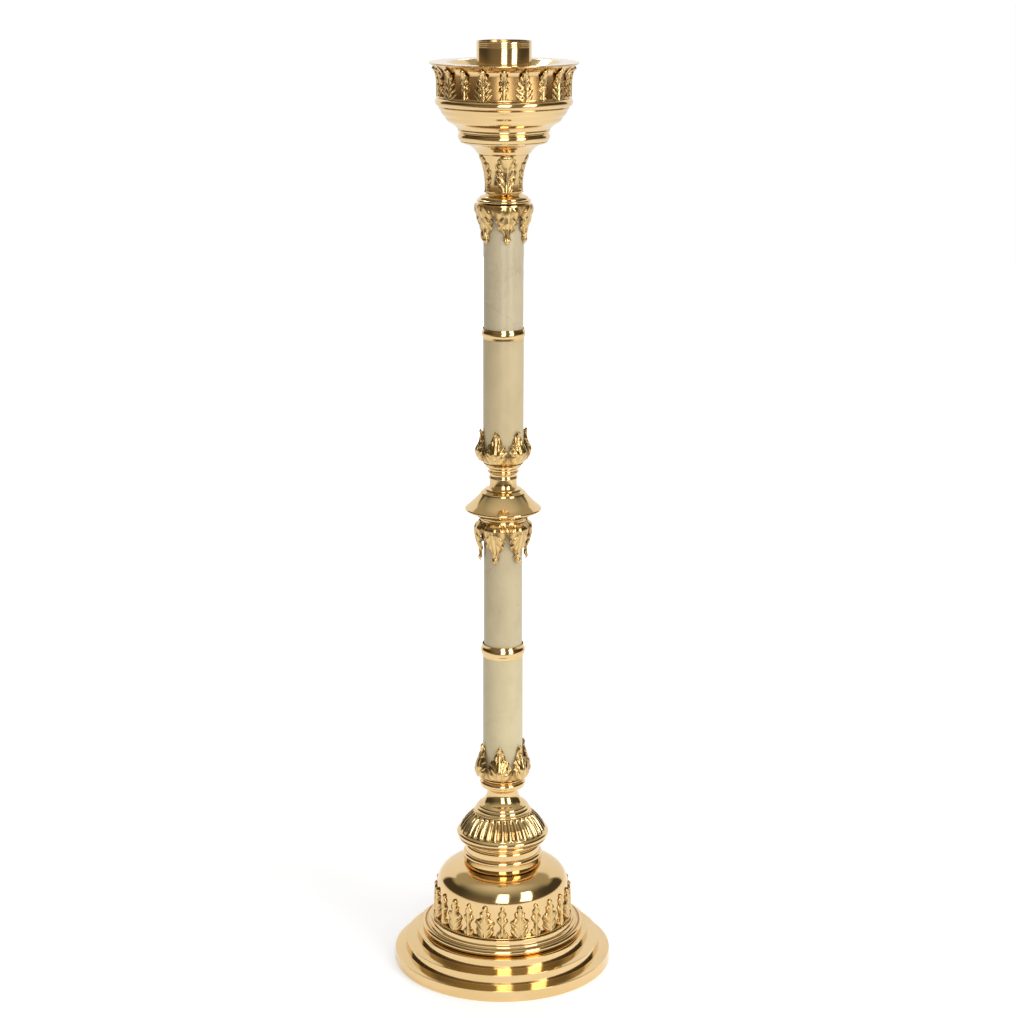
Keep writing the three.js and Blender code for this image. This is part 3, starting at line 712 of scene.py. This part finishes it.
for vertex in bowl.data.vertices:
    r, z = math.hypot(vertex.co.x, vertex.co.y) / MM, vertex.co.z / MM
    if WALL_LEVELS[0] < z < WALL_LEVELS[1] and WALL_RADII[0] < r < WALL_RADII[1]:
        bowl.data.attributes["depth"].data[vertex.index].value = WALL_TARNISH
finish_piece(bowl, "bowl", polished_brass)

# %% [markdown]
# ## Drip pan
#
# The pan is loose: a thin level ring lies on the bowl's edge, with a hollow dish for the wax in it.
# Its two sides lie so close that each would count as sheltering the other, so it gets no painted shade.

# %% Drip pan
pan_top = levels("drip_pan")[1]
PAN = [(9.6, -15.2), (36.9, -15.2), (68.2, -1.4, 0.04), (75.9, -1.4), (75.9, -4.0), (78.2, -4.0),
       (78.2, -1.4), (84.9, -1.4), (85.2, -1.0), (85.2, -0.5), (84.7, 0, 0.2), (66.4, -0.3), (65.4, -0.7),
       (36, -13.0, -0.05), (9.6, -13.0)]
pan_points = curved([(row[0], pan_top + row[1], *row[2:]) for row in PAN])
finish_piece(spun("drip_pan_spun", pan_points, 160, hollows=False), "drip_pan", polished_brass)

# %% [markdown]
# ## Candle socket
#
# The socket is a plain tube with three fine lines turned near its mouth. It stands in the pan on a
# short spigot, so it lifts out by itself.

# %% Candle socket
socket_top = levels("candle_socket")[1]
SOCKET = [(6, -42.1), (9, -42.1), (9, -36.1), (31.25, -36.1), (31.25, -7.2), (30.95, -6.9), (31.25, -6.6),
          (31.25, -5.2), (30.95, -4.9), (31.25, -4.6), (31.25, -3.2), (30.95, -2.9), (31.25, -2.6),
          (31.25, -0.3), (31.0, 0), (30.1, 0), (29.8, -0.4), (29.8, -33.1), (6, -33.1)]
socket_points = [Vector((r, socket_top + z)) for r, z in SOCKET]
finish_piece(spun("candle_socket_tube", socket_points, 128, edge=0.12), "candle_socket", polished_brass)

# %% [markdown]
# ## How an acanthus leaf is built up
#
# A cast leaf has a scalloped outline, a midrib, and veins that run from the rib out to the notches
# between its lobes. It starts as a grid primitive. Across the grid goes the share of the leaf's
# half width, and up it goes the share of the height. The half width comes from a short list of
# lobes and notches. The relief is a sum of simple shapes: a cushion that falls at the edges, a wave
# along the veins that grows towards the edges, a ridge for the midrib and a knob near the tip.
# Then every point is wrapped onto the turned surface that carries the leaf.

# %% Lobes and bells
def along_rows(rows, t):
    """The value at t in a list of (place, value), with a smooth run between the rows."""
    for (t0, v0), (t1, v1) in zip(rows, rows[1:]):
        if t <= t1:
            k = (t - t0) / (t1 - t0)
            return v0 + (v1 - v0) * (k * k * (3 - 2 * k))
    return rows[-1][1]


def bell(value, middle, width):
    return math.exp(-((value - middle) / width) ** 2)


# %% [markdown]
# The leaf itself: s runs from one edge to the other, t from the foot to the tip. lobes counts the
# veins up one side, slant is how steeply they climb, and lift is how far the edges sweep up.

# %% Leaf
def make_leaf(name, outline, surface, half_pitch, base, height, thick, *, lobes, slant, lift, knob,
              back, columns, rows, curl=0.0):
    """One leaf in millimetres, wrapped onto surface(z). thick is its relief and back its metal behind."""
    start_fresh()
    bpy.ops.mesh.primitive_grid_add(x_subdivisions=columns, y_subdivisions=rows, size=2)
    leaf = bpy.context.object
    leaf.name = leaf.data.name = name
    depth = leaf.data.attributes.new("depth", "FLOAT", "POINT")
    for vertex in leaf.data.vertices:
        s = vertex.co.x
        t = (vertex.co.y + 1) / 2
        half = along_rows(outline, t)
        side = abs(s)
        cushion = fade(1 - side, 0, 0.45) * fade(1 - t, 0, 0.1)
        wave = 0.5 - 0.5 * math.cos(math.tau * (lobes * (t - slant * side) + 0.5))
        vein = wave * fade(side, 0.05, 0.6) * (1 - fade(t, 0.86, 0.98))
        rib = bell(s * half, 0, 0.07) * (1 - fade(t, 0.6, 0.9))
        groove = bell(side * half, 0.15, 0.05) * (1 - fade(t, 0.6, 0.85))
        top = bell(s * half, 0, 0.17) * bell(t, 0.93, 0.06)
        relief = 0.35 + 0.65 * cushion - 0.42 * vein + 0.25 * rib - 0.22 * groove
        out = thick * relief + knob * top + curl * t ** 4
        up = t + lift * side * side * (1 - t) * fade(t, 0, 0.12)
        z = base + height * up
        r = surface(z) + out
        angle = -math.pi / 2 + s * half * half_pitch
        vertex.co = (r * math.cos(angle) * MM, r * math.sin(angle) * MM, z * MM)
        # Painted shade: depth is high in the veins, in the grooves beside the midrib and towards the edges
        # and tip.
        depth.data[vertex.index].value = min(1.0, 0.55 * vein + 0.45 * groove + 0.3 * (1 - cushion))
    if leaf.data.polygons[0].normal.dot(Vector((0, -1, 0))) < 0:
        leaf.data.flip_normals()
    wall = leaf.modifiers.new("wall", "SOLIDIFY")
    wall.thickness = back * MM
    wall.offset = -1
    bpy.ops.object.modifier_apply(modifier="wall")
    return leaf


# %% [markdown]
# A casting is modelled once and copied round the axis. The copies and their ring are then joined,
# because on the real stand they are one piece.

# %% Copies and joins
def copies_round(piece, turns):
    """One copy of the piece for each turn about the axis, in degrees, each with its own mesh."""
    made = []
    for turn in turns:
        select_only(piece)
        bpy.ops.object.duplicate(linked=False)
        copy = bpy.context.object
        copy.data.transform(Matrix.Rotation(math.radians(turn), 4, "Z"))
        made.append(copy)
    return made


def join_as(name, parts):
    start_fresh()
    for part in parts:
        part.select_set(True)
    bpy.context.view_layer.objects.active = parts[0]
    bpy.ops.object.join()
    whole = bpy.context.object
    whole.name = whole.data.name = name
    place_in_mesh(whole)
    smooth_edges(whole, 50)
    print(name, "faces", len(whole.data.polygons))
    return whole


# %% [markdown]
# ## Leaf band round the drum
#
# Twelve large leaves and twelve small ones stand in turn round the drum, with a small one at the
# front. A strip joins their feet.

# %% Leaf band round the drum
LARGE_LEAF = [(0, 0.55), (0.07, 0.98), (0.15, 1.08), (0.24, 0.95), (0.33, 1.02), (0.42, 1.16), (0.49, 1.08),
              (0.535, 0.74), (0.575, 0.48), (0.64, 0.6), (0.72, 0.66), (0.78, 0.48), (0.82, 0.31),
              (0.9, 0.36), (0.96, 0.27), (1, 0.06)]
SMALL_LEAF = [(0, 0.5), (0.06, 0.72), (0.12, 0.58), (0.19, 0.32), (0.27, 0.22), (0.35, 0.26), (0.42, 0.42),
              (0.5, 0.64), (0.56, 0.66), (0.62, 0.46), (0.66, 0.34), (0.72, 0.48), (0.78, 0.48),
              (0.83, 0.3), (0.87, 0.2), (0.93, 0.28), (0.97, 0.21), (1, 0.05)]


def leaf_band(node, large, small, turns, strip):
    """Small and large leaves by turns, with the ring at their feet."""
    pieces = copies_round(large, turns[1::2]) + copies_round(small, turns[0::2])
    ring = spun(node + "_strip", curved(strip), 144, edge=0.2)
    start_fresh()
    for used in (large, small):
        bpy.data.objects.remove(used)
    finish_piece(join_as(node + "_cast", pieces + [ring]), node, cast_brass)


drum_leaf_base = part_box("drum_leaf_band")[0].z / MM


def drum_wall(z):
    return 81.8 - 0.02 * (z - drum_base)


drum_large = make_leaf("drum_large_leaf", LARGE_LEAF, drum_wall, math.pi / 24, drum_leaf_base + 0.8, 40.4,
                       3.0, lobes=5, slant=0.28, lift=0.07, knob=1.2, back=1.2, columns=20, rows=44)
drum_small = make_leaf("drum_small_leaf", SMALL_LEAF, drum_wall, math.pi / 24, drum_leaf_base + 0.8, 40.0,
                       2.6, lobes=4, slant=0.27, lift=0.05, knob=0.9, back=1.0, columns=14, rows=44)
drum_strip = [(82, 0.2), (85.8, 0.2), (86.0, 0.8, 0.2), (85.2, 1.6, 0.2), (82, 1.6)]
drum_strip = [(row[0], row[1] + drum_leaf_base, *row[2:]) for row in drum_strip]
leaf_band("drum_leaf_band", drum_large, drum_small, [15 * k for k in range(24)], drum_strip)

# %% [markdown]
# ## Leaf band round the bowl
#
# The bowl carries twenty leaves of a slimmer kind. They leave the wall below the flare and lean
# out with it, so their tips stand under the pan's edge.

# %% Leaf band round the bowl
BOWL_LARGE_LEAF = [(0, 0.5), (0.06, 0.8), (0.14, 0.88), (0.2, 0.7), (0.27, 0.86), (0.36, 0.84), (0.42, 0.6),
                   (0.5, 0.72), (0.58, 0.66), (0.63, 0.45), (0.7, 0.52), (0.77, 0.46), (0.82, 0.3),
                   (0.89, 0.34), (0.95, 0.24), (1, 0.05)]
BOWL_SMALL_LEAF = [(0, 0.3), (0.06, 0.44), (0.12, 0.3), (0.2, 0.3), (0.3, 0.52), (0.38, 0.52), (0.44, 0.34),
                   (0.52, 0.54), (0.6, 0.5), (0.66, 0.34), (0.73, 0.42), (0.79, 0.38), (0.84, 0.24),
                   (0.9, 0.28), (0.96, 0.2), (1, 0.04)]
bowl_leaf_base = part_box("bowl_leaf_band")[0].z / MM


def bowl_wall(z):
    return 73.9 + 4.6 * max(0.0, (z - bowl_leaf_base - 15.3) / 18) ** 2


leaf_foot = bowl_leaf_base + 0.6
bowl_large = make_leaf("bowl_large_leaf", BOWL_LARGE_LEAF, bowl_wall, math.pi / 20, leaf_foot, 34.6, 2.4,
                       lobes=5, slant=0.26, lift=0.07, knob=1.7, curl=0.2, back=1.0, columns=20, rows=40)
bowl_small = make_leaf("bowl_small_leaf", BOWL_SMALL_LEAF, bowl_wall, math.pi / 20, leaf_foot, 34.2, 2.0,
                       lobes=5, slant=0.22, lift=0.05, knob=1.4, curl=0.2, back=0.9, columns=14, rows=40)
bowl_strip = [(74.2, 0.8), (76.0, 0.8), (76.2, 1.6, 0.2), (75.4, 2.6, 0.2), (74.2, 2.6)]
bowl_strip = [(row[0], row[1] + bowl_leaf_base, *row[2:]) for row in bowl_strip]
leaf_band("bowl_leaf_band", bowl_large, bowl_small, [18 * k for k in range(20)], bowl_strip)

# %% [markdown]
# ## Leaf cups at the ends of the marble
#
# Four cast cups hold the marble. Two stand up and two hang down, each with six leaves and bare
# marble between them. The leaf's surface is the cup's own outline, read by height, and the ring at
# the root of the leaves is spun.

# %% Leaf cups
CUP_LEAF = [(0, 1.02), (0.12, 0.98), (0.18, 0.8), (0.25, 0.9), (0.32, 0.92), (0.38, 0.72), (0.44, 0.84),
            (0.51, 0.72), (0.56, 0.46), (0.62, 0.52), (0.7, 0.44), (0.76, 0.32), (0.84, 0.29), (0.93, 0.16),
            (1, 0.03)]
HANGING_LEAF = [(0, 1.02), (0.1, 1.0), (0.19, 0.86), (0.24, 0.7), (0.3, 0.88), (0.37, 0.84), (0.42, 0.64),
                (0.48, 0.78), (0.56, 0.7), (0.62, 0.48), (0.67, 0.32), (0.72, 0.27), (0.78, 0.32),
                (0.85, 0.31), (0.92, 0.2), (1, 0.05)]


def radius_reader(points):
    """A function that reads an outline's radius at a height."""
    def at(z):
        for a, b in zip(points, points[1:]):
            if min(a.y, b.y) - 1e-6 <= z <= max(a.y, b.y) + 1e-6 and abs(b.y - a.y) > 1e-6:
                return a.x + (b.x - a.x) * (z - a.y) / (b.y - a.y)
        return points[-1].x if abs(z - points[-1].y) < abs(z - points[0].y) else points[0].x
    return at


LEAF_INSET = 1.3
RING_INSET = 1.0
HOLE = 8


def leaf_cup(node, rows, inner, outer, turn, marble, hangs, root):
    """root is the share of the height that the closed ring takes, at the end away from the tips."""
    base, top = levels(node)
    height = top - base
    outside = curved(moulding(rows, inner, outer, base, height))
    read = radius_reader(outside)
    outline = HANGING_LEAF if hangs else CUP_LEAF
    start, span = (top, -height) if hangs else (base, height)
    first = start + span * root * 0.55
    leaf = make_leaf(node + "_leaf", outline, lambda z: read(z) - LEAF_INSET, math.pi / 6, first,
                     span * (1 - root * 0.55), 2.8, lobes=4, slant=0.42, lift=0.12, knob=0.9, back=1.1,
                     columns=20, rows=36)
    leaves = copies_round(leaf, [turn + 60 * k for k in range(6)])
    edge = start + span * root
    low, high = min(start, edge), max(start, edge)
    ring_points = [(point.x, point.y) for point in outside if low - 1e-6 <= point.y <= high + 1e-6]
    ring_points.insert(0 if hangs else len(ring_points), (read(edge), edge))
    pocket = marble + 0.4
    if hangs:
        inside = [(HOLE, top), (HOLE, top - 6), (pocket, top - 6), (pocket, low)]
    else:
        inside = [(pocket, high), (pocket, base + 3.2), (HOLE, base + 3.2), (HOLE, base)]
    ring_points = [Vector((r - RING_INSET, z)) for r, z in ring_points] + [Vector(row) for row in inside]
    ring = spun(node + "_ring", ring_points, 96, edge=0.2)
    start_fresh()
    bpy.data.objects.remove(leaf)
    finish_piece(join_as(node + "_cast", leaves + [ring]), node, cast_brass)


LOWER_CALYX = [(0.09, 0), (1, 0.227, 0.12), (0.8, 0.422, 0.05), (0.2, 0.7, -0.02), (0.02, 1, -0.05)]
LOWER_CAPITAL = [(0, 0), (0.14, 0.077, 0.1), (0.02, 0.154), (0.04, 0.288), (0.42, 0.396, -0.03),
                 (0.86, 0.57, 0.02), (0.97, 0.67, 0.03), (1, 0.76, 0.05), (0.86, 0.85, 0.12),
                 (0.45, 0.9, 0.1), (0.18, 0.912), (0.14, 1)]
UPPER_CALYX = [(-0.5, 0), (0.3, 0.15, 0.08), (0.92, 0.33, 0.08), (0.7, 0.47, 0.1), (0.07, 0.64, -0.02),
               (0.04, 1, -0.04)]
UPPER_CAPITAL = [(0, 0), (0.13, 0.149, 0.05), (0.25, 0.404), (0.58, 0.521), (0.75, 0.681),
                 (1, 0.879, 0.06), (0.97, 0.97), (0.8, 1)]
leaf_cup("lower_calyx", LOWER_CALYX, 26.8, 33.2, -8, 24.0, False, 0.14)
leaf_cup("lower_capital", LOWER_CAPITAL, 27.4, 33.1, -20, 23.1, True, 0.1)
leaf_cup("upper_calyx", UPPER_CALYX, 27.0, 32.4, -19, 24.0, False, 0.14)
leaf_cup("upper_capital", UPPER_CAPITAL, 25.4, 33.1, 8.5, 23.4, True, 0.12)

# %% [markdown]
# ## Leaves on the trumpet neck
#
# Four broad leaves clasp the neck. They are one casting, so their sides touch at the root.

# %% Leaves on the neck
NECK_LEAF = [(0, 0.5), (0.06, 0.62), (0.14, 0.56), (0.2, 0.74), (0.3, 0.82), (0.36, 0.66), (0.42, 0.84),
             (0.52, 0.86), (0.58, 0.66), (0.64, 0.8), (0.72, 0.78), (0.79, 0.54), (0.85, 0.6),
             (0.93, 0.42), (1, 0.1)]
neck_base, neck_top = levels("vase_neck", SPIGOT)
trumpet_radius = radius_reader(curved(moulding(TRUMPET, 18.6, 50.2, neck_base, neck_top - neck_base)))
neck_leaf = make_leaf("neck_leaf", NECK_LEAF, trumpet_radius, math.pi / 4, neck_base + 11, 43, 2.5, lobes=5,
                      slant=0.45, lift=0.1, knob=0.6, back=0.6, columns=24, rows=40)
neck_leaves = copies_round(neck_leaf, [8 + 90 * k for k in range(4)])
neck_ring_points = [(19.4, 10.6), (21.4, 11.0), (21.6, 12.4), (19.4, 13.4)]
neck_ring_points = [Vector((r, neck_base + z)) for r, z in neck_ring_points]
neck_ring = spun("vase_calyx_ring", neck_ring_points, 96, edge=0.2)
start_fresh()
bpy.data.objects.remove(neck_leaf)
finish_piece(join_as("vase_calyx_cast", neck_leaves + [neck_ring]), "vase_calyx", cast_brass)

# %% [markdown]
# ## Floor, room and lamps
#
# Brass shows what stands round it, so the room matters as much as the metal. The photograph was
# taken on a white floor that runs up behind the stand, with a dim room on the camera's side and two
# tall soft boxes in it, and a third lamp over it. The floor and the world give that: white below and
# behind, a darker floor near the camera, a dim room in front that is lighter overhead, and plain
# white where the camera looks past the stand.

# %% Floor
def rise_of(tree, value, low, high):
    """0 where the value is below low, 1 where it is above high, and a smooth rise between."""
    node = add_node(tree, "ShaderNodeMapRange", interpolation_type="SMOOTHSTEP")
    node.inputs["From Min"].default_value = low
    node.inputs["From Max"].default_value = high
    tree.links.new(value, node.inputs["Value"])
    return node.outputs["Result"]


DARK_UP_TO, WHITE_FROM = -1.9, -0.7
GLOW = 0.38
FADE_FROM, FADE_TO = 0.6, 2.4

start_fresh()
bpy.ops.mesh.primitive_circle_add(vertices=96, radius=6.0, fill_type="NGON", location=(0, 0, 0))
floor = bpy.context.object
floor.name = "floor"
floor_material, tree, shader, where = new_material("white_floor")
place = add_node(tree, "ShaderNodeSeparateXYZ")
tree.links.new(where, place.inputs[0])
white_part = rise_of(tree, place.outputs["Y"], DARK_UP_TO, WHITE_FROM)
paint = [(0.0, (0.14, 0.12, 0.09)), (1.0, (0.84, 0.84, 0.84))]
tree.links.new(ramp_of(tree, white_part, paint), shader.inputs["Base Color"])
shader.inputs["Roughness"].default_value = 0.8
paths = add_node(tree, "ShaderNodeLightPath")
seen = math_of(tree, "MAXIMUM", paths.outputs["Is Camera Ray"], paths.outputs["Is Glossy Ray"])
lit = math_of(tree, "MULTIPLY", seen, white_part)
reach = add_node(tree, "ShaderNodeVectorMath", operation="LENGTH")
tree.links.new(where, reach.inputs[0])
far = rise_of(tree, reach.outputs["Value"], FADE_FROM, FADE_TO)
past = math_of(tree, "MULTIPLY", paths.outputs["Is Camera Ray"], far)
shader.inputs["Emission Color"].default_value = (1, 1, 1, 1)
tree.links.new(math_of(tree, "MULTIPLY_ADD", lit, GLOW, past), shader.inputs["Emission Strength"])
floor.data.materials.append(floor_material)
print("floor", round(floor.dimensions.x, 1), "m across")

# %% [markdown]
# The world is a sphere of light round everything. Its colour depends on the direction and on who
# asks: the metal's reflections get the room, the camera gets plain white, and every other surface
# gets a soft grey that is lighter from the right, which shades the marble.

# %% World
world = bpy.data.worlds.new("studio")
bpy.context.scene.world = world
world.use_nodes = True
tree = world.node_tree
tree.nodes.clear()
output = add_node(tree, "ShaderNodeOutputWorld")
coordinates = add_node(tree, "ShaderNodeTexCoord")
direction = add_node(tree, "ShaderNodeSeparateXYZ")
tree.links.new(coordinates.outputs["Generated"], direction.inputs[0])
height = add_node(tree, "ShaderNodeMapRange")
height.inputs["From Min"].default_value = -1
tree.links.new(direction.outputs["Z"], height.inputs["Value"])
height = height.outputs["Result"]
# From straight down at 0, over the horizon at 0.5, to straight up at 1.
ROOM = [(0.0, (0.9, 0.9, 0.9)), (0.40, (0.85, 0.84, 0.82)), (0.455, (0.30, 0.22, 0.12)),
        (0.5, (0.25, 0.185, 0.11)), (0.58, (0.17, 0.145, 0.10)), (0.72, (0.16, 0.15, 0.11)),
        (0.84, (0.30, 0.29, 0.23)), (0.92, (0.46, 0.45, 0.39)), (1.0, (0.72, 0.70, 0.64))]
room = ramp_of(tree, height, ROOM)

# %% [markdown]
# The room's sides are darker than the part behind the camera, the ceiling past the stand is
# lighter, and behind the stand there is a white wall up to about 40 degrees. The direction's share
# towards the back, measured on the level, tells these apart.

# %% The room's parts
squared = math_of(tree, "POWER", direction.outputs["Z"], 2.0)
level = math_of(tree, "SQRT", math_of(tree, "SUBTRACT", 1.0, squared))
facing = math_of(tree, "DIVIDE", direction.outputs["Y"], math_of(tree, "ADD", level, 0.0001))
side = math_of(tree, "MULTIPLY", rise_of(tree, facing, -0.9, -0.1), rise_of(tree, height, 0.48, 0.53))
below_ceiling = math_of(tree, "SUBTRACT", 1.0, rise_of(tree, direction.outputs["Z"], 0.5, 0.85))
side = math_of(tree, "MULTIPLY", side, below_ceiling)
darker = mix_of(tree, math_of(tree, "MULTIPLY", side, 0.75), room, (0.03, 0.025, 0.018))
ceiling = mix_of(tree, rise_of(tree, direction.outputs["Y"], 0.0, 0.35), darker, (0.42, 0.39, 0.31))
dim = mix_of(tree, rise_of(tree, direction.outputs["Z"], 0.45, 0.62), darker, ceiling)
wall_top = math_of(tree, "SUBTRACT", 1.0, rise_of(tree, direction.outputs["Z"], 0.59, 0.65))
wall = math_of(tree, "MULTIPLY", rise_of(tree, facing, 0.60, 0.70), wall_top)
mirrored = mix_of(tree, wall, dim, (0.95, 0.95, 0.95))
to_right = rise_of(tree, direction.outputs["X"], -1.0, 1.0)
ambient = mix_of(tree, to_right, (0.38, 0.38, 0.38), (0.68, 0.68, 0.68))
paths = add_node(tree, "ShaderNodeLightPath")
by_metal = mix_of(tree, paths.outputs["Is Glossy Ray"], ambient, mirrored)
by_camera = mix_of(tree, paths.outputs["Is Camera Ray"], by_metal, (1.0, 1.0, 1.0))
background = add_node(tree, "ShaderNodeBackground")
tree.links.new(by_camera, background.inputs["Color"])
tree.links.new(background.outputs[0], output.inputs["Surface"])
print("world nodes", len(tree.nodes))

# %% [markdown]
# Two tall soft boxes stand on the camera's side, one straight ahead and one to the right. They are
# the pairs of upright highlights on every turned piece. The third box is small and hangs behind.

# %% Soft boxes
def soft_box(name, azimuth, distance, width, tall, middle, power, lean=0.0, pitch=90.0):
    """azimuth is measured at the stand, from the camera's side towards the right."""
    lamp = bpy.data.lights.new(name, "AREA")
    lamp.shape = "RECTANGLE"
    lamp.size = width
    lamp.size_y = tall
    lamp.energy = power
    lamp_object = bpy.data.objects.new(name, lamp)
    bpy.context.scene.collection.objects.link(lamp_object)
    turn = math.radians(azimuth)
    lamp_object.location = (distance * math.sin(turn), -distance * math.cos(turn), middle)
    lamp_object.rotation_euler = (math.radians(pitch), math.radians(lean), turn)


soft_box("front_box", azimuth=1.5, distance=3.2, width=1.15, tall=3.4, middle=1.95, power=44, lean=4)
soft_box("right_box", azimuth=46, distance=3.2, width=1.15, tall=3.4, middle=1.95, power=44, lean=12)
soft_box("top_box", azimuth=183, distance=2.2, width=1.1, tall=0.4, middle=2.6, power=11, pitch=42)
print("lamps", [lamp.name for lamp in bpy.data.lights])

# %% [markdown]
# ## Colours and the end
#
# The Standard view shows each colour about as it is written.

# %% Colour management
bpy.context.scene.view_settings.view_transform = "Standard"
